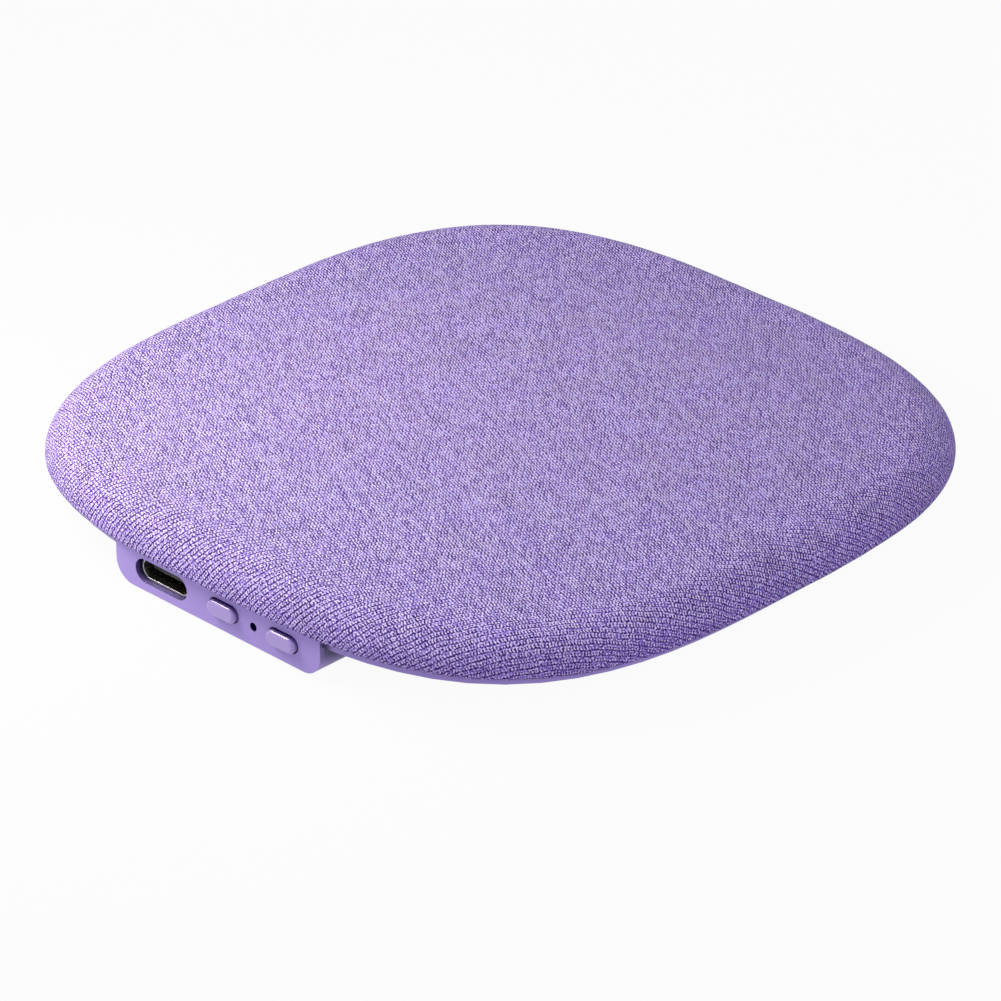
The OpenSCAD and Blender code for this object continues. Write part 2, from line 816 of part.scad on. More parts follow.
// Point and direction on a smooth curve through a route, at a share of one of its stretches
function route_point(route, k, t) =
    let (a = route[max(k - 1, 0)], b = route[k], c = route[k + 1],
        d = route[min(k + 2, len(route) - 1)])
    0.5 * (2 * b + (c - a) * t + (2 * a - 5 * b + 4 * c - d) * t * t
        + (3 * b - a - 3 * c + d) * t * t * t);

function route_points(route) =
    concat([for (k = [0 : len(route) - 2]) for (s = [0 : lead_steps - 1])
        route_point(route, k, s / lead_steps)], [route[len(route) - 1]]);

function unit(v) = v / norm(v);

// Insulated wire along a route
module lead(route, shade) {
    path = route_points(route);
    count = len(path);
    sides = lead_sides;
    rings = [for (i = [0 : count - 1])
        let (along = unit(path[min(i + 1, count - 1)] - path[max(i - 1, 0)]),
            across = unit(cross(along, [0, 0, 1])), up = cross(across, along))
        for (s = [0 : sides - 1])
            path[i] + lead_d / 2 * (across * cos(360 * s / sides) + up * sin(360 * s / sides))];
    walls = [for (i = [0 : count - 2]) for (s = [0 : sides - 1])
        let (a = i * sides + s, b = i * sides + (s + 1) % sides)
        for (face = [[a, b, b + sides], [a, b + sides, a + sides]]) face];
    start = [[for (s = [sides - 1 : -1 : 0]) s]];
    finish = [[for (s = [0 : sides - 1]) (count - 1) * sides + s]];
    color(shade) polyhedron(rings, concat(walls, start, finish), convexity = 4);
}

module battery_red_lead() { lead(battery_red_route, "red"); }
module battery_black_lead() { lead(battery_black_route, "black"); }
module driver_red_lead() { lead(driver_red_route, "red"); }
module driver_black_lead() { lead(driver_black_route, "black"); }

// Adhesive disc between the driver and the top shell
module driver_pad() {
    color("khaki") post([0, 0], z_disc, z_ceiling, driver_d - 2);
}

// Stepped plastic frame: a disc above, a skirt with the spring's seat, and a terminal block
module driver_frame() {
    color("dimgray") difference() {
        union() {
            post([0, 0], z_skirt, z_disc, driver_d);
            block(0, -driver_r - tab_len, z_disc_low - tab_h, [tab_w, tab_len + 1, tab_h]);
        }
        post([0, 0], z_skirt - 1, z_spring + eps, 2 * ledge_in_r);
        post([0, 0], z_spring, z_disc_low, driver_d - 2 * skirt_t);
    }
}

// Wound copper coil, fixed to the frame's disc
module voice_coil() {
    color("peru") difference() {
        post([0, 0], z_disc_low - coil_len, z_disc_low, 2 * (coil_in_r + coil_t));
        post([0, 0], z_disc_low - coil_len - 1, z_disc_low + 1, 2 * coil_in_r);
    }
}

// Flat shape between two radii
module ring_shape(inner_r, outer_r) {
    difference() {
        circle(outer_r);
        circle(inner_r);
    }
}

// One arm of the spring: a curved band, and a short tie to the ring and to the rim
module spring_arm(ring_r, rim_in) {
    middle_r = (rim_in + ring_r) / 2;
    intersection() {
        ring_shape(middle_r - arm_t / 2, middle_r + arm_t / 2);
        polygon([[0, 0], [2 * rim_in, 0], [2 * rim_in * cos(arm_turn), 2 * rim_in * sin(arm_turn)]]);
    }
    translate([ring_r - arm_tie, -arm_tie_w / 2]) square([middle_r - ring_r + arm_tie, arm_tie_w]);
    rotate(arm_turn) translate([middle_r, -arm_tie_w / 2])
        square([rim_in - middle_r + arm_tie, arm_tie_w]);
}

// Spring steel disc: a rim on the frame's seat, a ring on the yoke and three curved arms
module suspension_spring() {
    rim_r = driver_r - skirt_t - fit_gap;
    rim_in = rim_r - spring_rim_t;
    color("lightsteelblue") translate([0, 0, z_spring]) linear_extrude(spring_t) {
        ring_shape(rim_in, rim_r);
        ring_shape(yoke_r - spring_ring_t, yoke_r);
        for (i = [0 : arm_count - 1]) rotate(360 * i / arm_count) spring_arm(yoke_r, rim_in);
    }
}

// Steel cup of the magnet assembly
module driver_yoke() {
    color("silver") difference() {
        post([0, 0], z_spring - magnet_t - pole_t - yoke_base, z_spring, yoke_d);
        post([0, 0], z_spring - magnet_t - pole_t, z_spring + 1, yoke_d - 2 * yoke_wall);
    }
}

module driver_magnet() {
    color("gray") post([0, 0], z_spring - magnet_t - pole_t, z_spring - pole_t, 2 * magnet_r);
}

module pole_plate() {
    color("silver") post([0, 0], z_spring - pole_t, z_spring, 2 * pole_r);
}

fabric_cover();
foam_pad();
top_shell();
base_shell();
foot_front_left();
foot_front_right();
foot_rear_left();
foot_rear_right();
case_screws();
main_board();
board_screws();
usb_shell();
usb_insulator();
usb_contacts();
left_button_cap();
right_button_cap();
left_switch_stem();
right_switch_stem();
left_switch();
right_switch();
microphone();
microphone_boot();
radio_module();
shield_can();
amplifier_chip();
charger_chip();
power_inductor();
battery_socket();
battery_plug();
battery_cell();
battery_board();
battery_tape();
battery_red_lead();
battery_black_lead();
driver_pad();
driver_frame();
voice_coil();
suspension_spring();
driver_yoke();
driver_magnet();
pole_plate();
driver_red_lead();
driver_black_lead();
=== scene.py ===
"""Looks of a pillow speaker: a lilac knit pad on a moulded base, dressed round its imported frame."""

import json
import logging
import math
from dataclasses import dataclass, field
from enum import Enum
from typing import Any, Callable, Iterable, Optional, Sequence

import bmesh
import bpy
from mathutils import Matrix, Vector, noise
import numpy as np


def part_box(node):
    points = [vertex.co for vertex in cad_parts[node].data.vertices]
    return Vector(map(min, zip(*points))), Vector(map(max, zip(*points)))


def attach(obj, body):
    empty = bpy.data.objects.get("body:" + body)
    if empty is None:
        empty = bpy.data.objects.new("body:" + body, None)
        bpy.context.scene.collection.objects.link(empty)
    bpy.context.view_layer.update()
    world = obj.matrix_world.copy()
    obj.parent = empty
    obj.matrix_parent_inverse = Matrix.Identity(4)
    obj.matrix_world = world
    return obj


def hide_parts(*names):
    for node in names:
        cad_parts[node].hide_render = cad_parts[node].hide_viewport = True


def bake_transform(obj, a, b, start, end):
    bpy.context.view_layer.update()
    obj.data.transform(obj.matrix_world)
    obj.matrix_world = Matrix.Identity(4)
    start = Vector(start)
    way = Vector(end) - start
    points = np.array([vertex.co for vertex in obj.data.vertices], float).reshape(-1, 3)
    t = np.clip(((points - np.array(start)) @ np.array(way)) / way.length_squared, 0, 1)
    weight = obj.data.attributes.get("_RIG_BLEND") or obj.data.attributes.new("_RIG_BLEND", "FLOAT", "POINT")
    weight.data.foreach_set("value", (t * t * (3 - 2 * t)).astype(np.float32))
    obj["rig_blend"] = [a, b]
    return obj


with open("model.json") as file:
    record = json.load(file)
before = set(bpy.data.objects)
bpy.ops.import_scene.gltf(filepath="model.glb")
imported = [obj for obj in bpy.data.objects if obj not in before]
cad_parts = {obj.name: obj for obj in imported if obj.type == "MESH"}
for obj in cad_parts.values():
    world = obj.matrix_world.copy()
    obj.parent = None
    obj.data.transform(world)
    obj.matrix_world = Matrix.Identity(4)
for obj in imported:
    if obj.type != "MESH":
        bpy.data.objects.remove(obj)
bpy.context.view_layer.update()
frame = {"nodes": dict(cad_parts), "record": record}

# Short names of the types that most methods take
Tree, Socket = bpy.types.NodeTree, bpy.types.NodeSocket
BMesh = bmesh.types.BMesh

MM = 0.001
# Points nearer to each other than this are merged into one
MERGE = 0.002 * MM
# An edge of a rigid piece that turns by more than this many degrees is shaded sharp
SHARP = 40.0
# Sockets of the Mix node that mixes colours, which share their names with its other kinds
MIX_A, MIX_B, MIX_OUT = 6, 7, 2
# Most values of a noise texture lie between these
NOISE_LOW, NOISE_HIGH = 0.3, 0.7
log = logging.getLogger("pillow_speaker")


def linear(hex_code: str) -> tuple[float, float, float, float]:
    """Turns an sRGB hex colour into the linear colour that the shaders take.

    Args:
        hex_code: six hexadecimal digits.

    Returns:
        Linear red, green, blue and an alpha of one.
    """
    shares = [int(hex_code[i:i + 2], 16) / 255 for i in (0, 2, 4)]
    red, green, blue = (c / 12.92 if c <= 0.04045 else ((c + 0.055) / 1.055) ** 2.4 for c in shares)
    return red, green, blue, 1.0


def add(tree: Tree, kind: str, sockets: Optional[dict[str | int, Any]] = None,
        **settings: Any) -> bpy.types.Node:
    """Adds one shader node with its settings and its links.

    Args:
        tree: the node tree that gets the node.
        kind: the node type's name without its ShaderNode prefix.
        sockets: a value, or the output socket that feeds it, for each input by name or number.
        settings: the node's own properties.

    Returns:
        The new node.
    """
    node = tree.nodes.new("ShaderNode" + kind)
    for name, value in settings.items():
        setattr(node, name, value)
    for key, value in (sockets or {}).items():
        if isinstance(value, Socket):
            tree.links.new(value, node.inputs[key])
        else:
            node.inputs[key].default_value = value
    return node


def empty_tree(owner: bpy.types.Material | bpy.types.World) -> Tree:
    """Gives a material or a world an empty node tree.

    Args:
        owner: the material or the world.

    Returns:
        Its node tree, without the nodes that it starts with.
    """
    owner.use_nodes = True
    owner.node_tree.nodes.clear()
    return owner.node_tree


def show(name: str, data: bpy.types.ID) -> bpy.types.Object:
    """Puts a mesh, a lamp or a camera into the scene.

    Args:
        name: the object's name.
        data: its mesh, light or camera.

    Returns:
        The new object, at the origin.
    """
    shown = bpy.data.objects.new(name, data)
    bpy.context.scene.collection.objects.link(shown)
    return shown


def nearness(angle: float, middle: float, spread: float) -> float:
    """Works out how near a ray comes to the middle of one of the pad's sides.

    Args:
        angle: the ray's angle from the X axis, in radians.
        middle: the angle at the middle of the side, in degrees.
        spread: how far the side reaches each way from there, in degrees.

    Returns:
        One at the middle, falling smoothly to zero where the side ends.
    """
    away = abs((math.degrees(angle) - middle + 180) % 360 - 180) / spread
    return math.cos(math.pi / 2 * min(away, 1.0))


class Texture(Enum):
    """How a moulded, formed or wound surface was made, which sets its relief."""

    MOULDED = "moulded"
    BRUSHED = "brushed"
    CAST = "cast"
    WOUND = "wound"
    POROUS = "porous"
    CREASED = "creased"
    PRINTED = "printed"


# Scale of the brushing marks along X, against that across it
BRUSHED_ALONG = 0.04
# The wave texture draws 3.2 bands to each unit of scale, so this gives 1.6 to each turn of wire
WOUND_SCALE = 0.5
# Scale of a circuit board's tracks, against that of its grain
TRACK_SCALE = 0.1
# Detail of the noise on a cast surface, and on a moulded or brushed one
CAST_DETAIL, FINE_DETAIL = 5.0, 2.0


class Finish:
    """A real material, which is built once and shared by all pieces that have it."""

    name: str

    def dress(self, tree: Tree) -> None:
        """Adds the material's nodes to its empty node tree. Each kind of finish has its own."""
        raise NotImplementedError

    def make(self) -> bpy.types.Material:
        """Builds the material.

        Returns:
            The material, or the one of that name if it is there already.
        """
        if self.name in bpy.data.materials:
            return bpy.data.materials[self.name]
        material = bpy.data.materials.new(self.name)
        self.dress(empty_tree(material))
        return material


@dataclass(frozen=True)
class Formed(Finish):
    """A moulded, formed or plated material, with its own relief and unevenness of tone, and painted shade in
    its hollows where it is given one.
    """

    name: str
    colour: str
    shade: str
    roughness: float
    texture: Texture = Texture.MOULDED
    grain_mm: float = 0.12
    relief_mm: float = 0.004
    cloud_mm: float = 6.0
    metal: bool = False
    ior: float = 1.5
    coat: float = 0.0
    uneven: float = 0.05
    # Painted shade: a dark colour that ambient occlusion lays into gaps and hollows, how far it looks, the
    # occlusion over which it fades, and whether only the piece itself casts it
    painted_shade: Optional[str] = None
    painted_shade_mm: float = 3.0
    painted_shade_range: tuple[float, float] = (0.3, 0.72)
    painted_shade_own_only: bool = False

    def grain(self, tree: Tree, place: Socket) -> Socket:
        """Makes the height pattern that the surface's making leaves.

        Args:
            tree: the material's node tree.
            place: the position on the piece, in metres.

        Returns:
            The pattern's value, from about 0 to 1.
        """
        pitch = 1 / (self.grain_mm * MM)
        if self.texture is Texture.BRUSHED:
            along = add(tree, "Mapping", {"Vector": place,
                                          "Scale": (pitch * BRUSHED_ALONG, pitch, pitch)})
            return add(tree, "TexNoise", {"Vector": along.outputs[0], "Scale": 1.0,
                                          "Detail": FINE_DETAIL}).outputs[0]
        if self.texture is Texture.WOUND:
            return add(tree, "TexWave", {"Vector": place, "Scale": pitch * WOUND_SCALE,
                                         "Distortion": 0.2}, bands_direction="Z").outputs["Fac"]
        if self.texture in (Texture.POROUS, Texture.CREASED):
            cell = "F1" if self.texture is Texture.POROUS else "DISTANCE_TO_EDGE"
            return add(tree, "TexVoronoi", {"Vector": place, "Scale": pitch},
                       feature=cell).outputs["Distance"]
        if self.texture is Texture.PRINTED:
            return add(tree, "TexBrick", {"Vector": place, "Scale": pitch * TRACK_SCALE,
                                          "Mortar Size": 0.02, "Brick Width": 0.7,
                                          "Row Height": 0.3}).outputs["Fac"]
        detail = CAST_DETAIL if self.texture is Texture.CAST else FINE_DETAIL
        return add(tree, "TexNoise", {"Vector": place, "Scale": pitch, "Detail": detail}).outputs[0]

    def dress(self, tree: Tree) -> None:
        """Adds the nodes of the tone, the painted shade in hollows, the gloss and the relief.

        Args:
            tree: the material's node tree.
        """
        place = add(tree, "TexCoord").outputs["Object"]
        grain = self.grain(tree, place)
        cloud = add(tree, "TexNoise", {"Vector": place, "Scale": 1 / (self.cloud_mm * MM),
                                       "Detail": 3.0}).outputs[0]
        skin = add(tree, "Mix", {0: cloud, MIX_A: linear(self.shade), MIX_B: linear(self.colour)},
                   data_type="RGBA").outputs[MIX_OUT]
        if self.painted_shade:
            # Painted shade: narrow gaps and deep hollows get a darker colour than the open faces, where
            # ambient occlusion finds them
            reach = add(tree, "AmbientOcclusion", {"Distance": self.painted_shade_mm * MM}, samples=8,
                        only_local=self.painted_shade_own_only).outputs["AO"]
            unshaded = add(tree, "MapRange", {"Value": reach, "From Min": self.painted_shade_range[0],
                                          "From Max": self.painted_shade_range[1]}).outputs[0]
            skin = add(tree, "Mix", {0: unshaded, MIX_A: linear(self.painted_shade), MIX_B: skin},
                       data_type="RGBA").outputs[MIX_OUT]
        gloss = add(tree, "MapRange", {"Value": grain, "To Min": self.roughness - self.uneven,
                                       "To Max": self.roughness + self.uneven})
        bump = add(tree, "Bump", {"Height": grain, "Distance": self.relief_mm * MM,
                                  "Strength": 1.0})
        shader = add(tree, "BsdfPrincipled", {
            "Base Color": skin, "Roughness": gloss.outputs[0], "Normal": bump.outputs[0],
            "Metallic": 1.0 if self.metal else 0.0, "Coat Weight": self.coat})
        if not self.metal:
            shader.inputs["IOR"].default_value = self.ior
        add(tree, "OutputMaterial", {"Surface": shader.outputs[0]})


@dataclass(frozen=True)
class KnitWeights:
    """How much each part of the knit adds to its height, and the span of the sum that is drawn. The colour
    follows the height, so the negative gap and hem weights lay painted shade into the gaps and towards the
    hem.
    """

    legs: float = 1.0
    shade: float = 0.9
    groove: float = 0.12
    gap: float = -1.25
    drawn: float = 0.58
    hem: float = -0.12
    rows: float = -0.85
    fibre: float = 5.0
    heather: float = 1.2
    lowest: float = 1.7
    highest: float = 3.96


@dataclass(frozen=True)
class HeatherKnit(Finish):
    """Polyester jersey knit in a heathered lilac yarn.

    The grooves between its wales are the dark lines that run over the pad's front edge, and its
    courses cross them. The two slanting legs of each stitch are the bright dots, with dark gaps
    between them. The colour follows the knit's height, so the gaps carry painted shade and the
    stitches' tops a painted highlight. Scales are in cycles for each millimetre of the unrolled cloth.
    """

    name: str = "heather_polyester_knit"
    wale_mm: float = 0.76
    course_mm: float = 0.417
    wale_angle: float = 56.8
    lean: float = 3.0
    # Colours of the ramp, from the gaps to the stitches' tops: the yarn's tones, with painted shade in the
    # gap colour and a painted highlight in the glint
    gap: str = "290c68"
    yarn: str = "9376d0"
    bright: str = "c8b1ff"
    glint: str = "f2e8ff"
    fleck: str = "b4c6f4"
    sheen_tint: str = "e8e0ff"
    relief_mm: float = 0.16
    weights: KnitWeights = KnitWeights()
    # Where the yarn's two tones lie between the gaps at 0 and the glints at 1
    yarn_stop: float = 0.5
    bright_stop: float = 0.8
    # How far uneven yarn pulls a stitch out of line, and how often
    pull_mm: float = 0.5
    pulls: float = 0.3
    # Fibres, drawn far coarser than the real 0.02 mm so that they show, then flecks of heather with
    # their width against their length, and patches of clear stitches
    fibres: float = 3.8
    flecks: float = 1.1
    fleck_slim: float = 0.4
    patches: float = 0.16
    # Most that a leg on the left and on the right of its wale stands out
    left_leg: float = 1.75
    right_leg: float = 0.75
    # How narrow the gaps between the wales are, and their depth where fibres are sparse and thick
    gap_power: float = 2.2
    gap_depths: tuple[float, float] = (1.5, 0.3)
    # What is left of the stitches where the cloth is drawn tightest
    calm: float = 0.38
    # The span of the patches over which the stitches get clearer, and how clear they get
    patch_span: tuple[float, float] = (0.65, 0.35)
    patch_clear: tuple[float, float] = (0.88, 1.16)
    # How light the cloth is in the patches, from the noise's low values to its high ones
    patch_light: tuple[float, float] = (0.93, 1.07)
    # The heather's span over which the yarn turns bluer, and by how much
    blue_span: tuple[float, float] = (0.55, 0.72)
    blue: float = 0.4

    def lattice(self) -> tuple[tuple[float, float], tuple[float, float], tuple[float, float]]:
        """Works out the three waves of the stitches from the pitches and the lie of the wales.

        Returns:
            Cycles for each millimetre of the wales and of the stitches' left and right legs.
        """
        across = math.radians(self.wale_angle - 90)
        along = math.radians(self.wale_angle - self.lean)
        wales = (math.cos(across) / self.wale_mm, math.sin(across) / self.wale_mm)
        courses = (math.cos(along) / self.course_mm, math.sin(along) / self.course_mm)
        left = (courses[0] - wales[0] / 2, courses[1] - wales[1] / 2)
        right = (courses[0] + wales[0] / 2, courses[1] + wales[1] / 2)
        return wales, left, right

    @staticmethod
    def cycles(tree: Tree, cloth: Socket, wave: tuple[float, float]) -> Socket:
        """Counts a plane wave's cycles across the cloth.

        Args:
            tree: the material's node tree.
            cloth: the place on the unrolled cloth, in millimetres.
            wave: cycles for each millimetre along the cloth's two directions.

        Returns:
            The number of cycles from the cloth's middle.
        """
        return add(tree, "VectorMath", {0: cloth, 1: (*wave, 0.0)},
                   operation="DOT_PRODUCT").outputs["Value"]

    @staticmethod
    def swing(tree: Tree, cycles: Socket, form: str = "COSINE") -> Socket:
        """Turns a wave's number of cycles into its height.

        Args:
            tree: the material's node tree.
            cycles: the number of cycles.
            form: the Math node's operation, COSINE or SINE.

        Returns:
            The height, from -1 to 1.
        """
        turns = add(tree, "Math", {0: cycles, 1: 2 * math.pi}, operation="MULTIPLY").outputs[0]
        return add(tree, "Math", {0: turns}, operation=form).outputs[0]

    @staticmethod
    def total(tree: Tree, parts: Iterable[tuple[Socket, float]]) -> Socket:
        """Adds up heights, each times its weight.

        Args:
            tree: the material's node tree.
            parts: pairs of a height and its weight.

        Returns:
            The sum.
        """
        height: Any = 0.0
        for part, weight in parts:
            height = add(tree, "Math", {0: part, 1: weight, 2: height},
                         operation="MULTIPLY_ADD").outputs[0]
        return height

    def pulled(self, tree: Tree, flat: Socket) -> Socket:
        """Pulls the stitches a little out of line, as uneven yarn does.

        Args:
            tree: the material's node tree.
            flat: the place on the unrolled cloth, in millimetres.

        Returns:
            The place in the pattern of stitches, in millimetres.
        """
        pull = add(tree, "TexNoise", {"Vector": flat, "Scale": self.pulls, "Detail": 2.0},
                   noise_dimensions="2D")
        centred = add(tree, "VectorMath", {0: pull.outputs["Color"], 1: (0.5, 0.5, 0.5)},
                      operation="SUBTRACT")
        shift = add(tree, "VectorMath", {0: centred.outputs[0], "Scale": self.pull_mm},
                    operation="SCALE")
        return add(tree, "VectorMath", {0: flat, 1: shift.outputs[0]}, operation="ADD").outputs[0]

    def stitches(self, tree: Tree, counts: Sequence[Socket]) -> Socket:
        """Makes the two legs of each stitch, and gives each stitch its own shade.

        A wale's two rows of legs lean towards each other, one on each side of its middle. The
        shades differ because the yarn is spun from fibres of several colours.

        Args:
            tree: the material's node tree.
            counts: the cycles of the wales and of the left and right legs.

        Returns:
            The stitches' height.
        """
        wales, left, right = counts
        side = self.swing(tree, wales, "SINE")
        on_left = add(tree, "MapRange", {"Value": side, "From Min": -1.0, "To Max": self.left_leg})
        on_right = add(tree, "MapRange", {"Value": side, "From Min": -1.0, "To Min": self.right_leg,
                                          "To Max": 0.0})
        left_row, right_row = (
            add(tree, "Math", {0: self.swing(tree, count), 1: share.outputs[0]},
                operation="MULTIPLY").outputs[0]
            for count, share in ((left, on_left), (right, on_right)))
        place = add(tree, "CombineXYZ", {0: left, 1: right}).outputs[0]
        stitch = add(tree, "VectorMath", {0: place, 1: (1.0, 1.0, 1.0)},
                     operation="SNAP").outputs[0]
        shade = add(tree, "TexWhiteNoise", {"Vector": stitch}, noise_dimensions="2D")
        return self.total(tree, ((left_row, 1.0), (right_row, 1.0),
                                 (shade.outputs["Value"], self.weights.shade)))

    def gaps(self, tree: Tree, groove: Socket, fibre: Socket) -> Socket:
        """Makes the dark gaps between the wales, which loose fibres bridge here and there. Their darkness is
        painted shade.

        Args:
            tree: the material's node tree.
            groove: the wales' height, which is lowest between them.
            fibre: the fibres' height.

        Returns:
            The gaps' depth.
        """
        valley = add(tree, "Math", {0: groove, 1: -0.5, 2: 0.5},
                     operation="MULTIPLY_ADD").outputs[0]
        narrow = add(tree, "Math", {0: valley, 1: self.gap_power}, operation="POWER").outputs[0]
        broken = add(tree, "MapRange", {
            "Value": fibre, "From Min": NOISE_LOW, "From Max": NOISE_HIGH,
            "To Min": self.gap_depths[0], "To Max": self.gap_depths[1]}).outputs[0]
        return add(tree, "Math", {0: narrow, 1: broken}, operation="MULTIPLY").outputs[0]

    def height(self, tree: Tree, counts: Sequence[Socket], noises: Sequence[Socket]) -> Socket:
        """Adds up the knit's height, from the bottom of a gap at 0 to the top of a stitch at 1.

        The grooves between the wales open where the cloth is drawn over the edge, and there the two
        rows of legs of each wale show more than the single stitches. Since the colour follows the height,
        the gaps and the hem get painted shade.

        Args:
            tree: the material's node tree.
            counts: the cycles of the wales and of the left and right legs.
            noises: the fibres, the heather and the patches.

        Returns:
            The height.
        """
        fibre, heather, patch = noises
        weights = self.weights
        groove = self.swing(tree, counts[0])
        drawn = add(tree, "Attribute", attribute_name="drawn").outputs["Fac"]
        cut = add(tree, "Math", {0: self.gaps(tree, groove, fibre), 1: drawn},
                  operation="MULTIPLY").outputs[0]
        rows = add(tree, "Math", {0: groove, 1: groove}, operation="MULTIPLY").outputs[0]
        # At its lower edge the cloth is drawn tightest and turns away from the light; there painted shade
        # lowers its height and darkens its colour
        hem = add(tree, "Attribute", attribute_name="hem").outputs["Fac"]
        tight = add(tree, "Math", {0: drawn, 1: hem}, operation="MAXIMUM").outputs[0]
        calm = add(tree, "MapRange", {"Value": tight, "To Min": 1.0,
                                      "To Max": self.calm}).outputs[0]
        # The stitches stand out in some patches and sink into the fibres in others
        clear = add(tree, "MapRange", {
            "Value": patch, "From Min": self.patch_span[0], "From Max": self.patch_span[1],
            "To Min": self.patch_clear[0], "To Max": self.patch_clear[1]}).outputs[0]
        crisp = add(tree, "Math", {0: calm, 1: clear}, operation="MULTIPLY").outputs[0]
        legs = add(tree, "Math", {0: self.stitches(tree, counts), 1: crisp},
                   operation="MULTIPLY").outputs[0]
        relief = self.total(tree, (
            (legs, weights.legs), (groove, weights.groove), (cut, weights.gap),
            (drawn, weights.drawn), (hem, weights.hem), (rows, weights.rows),
            (fibre, weights.fibre), (heather, weights.heather)))
        return add(tree, "MapRange", {"Value": relief, "From Min": weights.lowest,
                                      "From Max": weights.highest}).outputs[0]

    def tone(self, tree: Tree, height: Socket, heather: Socket, patch: Socket) -> Socket:
        """Colours the knit by its height, with painted shade in the gaps and a painted highlight on the
        stitches' tops, bluer in lengths of the yarn and lighter in patches.

        Args:
            tree: the material's node tree.
            height: the knit's height.
            heather: the lengths of lighter, darker and bluer yarn.
            patch: the patches.

        Returns:
            The colour.
        """
        lit = add(tree, "ValToRGB", {"Fac": height})
        lit.color_ramp.elements[0].color = linear(self.gap)
        lit.color_ramp.elements[1].color = linear(self.glint)
        for stop, tint in ((self.yarn_stop, self.yarn), (self.bright_stop, self.bright)):
            lit.color_ramp.elements.new(stop).color = linear(tint)
        blue = add(tree, "MapRange", {
            "Value": heather, "From Min": self.blue_span[0], "From Max": self.blue_span[1],
            "To Max": self.blue}).outputs[0]
        mixed = add(tree, "Mix", {0: blue, MIX_A: lit.outputs[0], MIX_B: linear(self.fleck)},
                    data_type="RGBA", blend_type="MULTIPLY").outputs[MIX_OUT]
        level = add(tree, "MapRange", {
            "Value": patch, "From Min": NOISE_LOW, "From Max": NOISE_HIGH,
            "To Min": self.patch_light[0], "To Max": self.patch_light[1]}).outputs[0]
        return add(tree, "VectorMath", {0: mixed, "Scale": level}, operation="SCALE").outputs[0]

    def dress(self, tree: Tree) -> None:
        """Adds the nodes of the cloth's noises, height, tone and sheen.

        Args:
            tree: the material's node tree.
        """
        flat = add(tree, "UVMap", uv_map="cloth").outputs[0]
        cloth = self.pulled(tree, flat)
        counts = [self.cycles(tree, cloth, wave) for wave in self.lattice()]
        fibre = add(tree, "TexNoise", {"Vector": cloth, "Scale": self.fibres, "Detail": 1.0,
                                       "Roughness": 0.7}, noise_dimensions="2D").outputs[0]
        # Heather: lighter, darker and bluer lengths of yarn, longer along the wales than across
        turned = add(tree, "Mapping", {
            "Vector": cloth, "Rotation": (0, 0, -math.radians(self.wale_angle)),
            "Scale": (self.fleck_slim, 1.0, 1.0)})
        heather = add(tree, "TexNoise", {"Vector": turned.outputs[0], "Scale": self.flecks,
                                         "Detail": 4.0, "Roughness": 0.65},
                      noise_dimensions="2D").outputs[0]
        patch = add(tree, "TexNoise", {"Vector": flat, "Scale": self.patches, "Detail": 3.0},
                    noise_dimensions="2D").outputs[0]
        height = self.height(tree, counts, (fibre, heather, patch))
        bump = add(tree, "Bump", {"Height": height, "Distance": self.relief_mm * MM,
                                  "Strength": 1.0})
        shader = add(tree, "BsdfPrincipled", {
            "Base Color": self.tone(tree, height, heather, patch), "Roughness": 0.7,
            "Normal": bump.outputs[0], "IOR": 1.5, "Specular IOR Level": 0.25,
            "Sheen Weight": 0.08, "Sheen Roughness": 0.4, "Sheen Tint": linear(self.sheen_tint)})
        add(tree, "OutputMaterial", {"Surface": shader.outputs[0]})


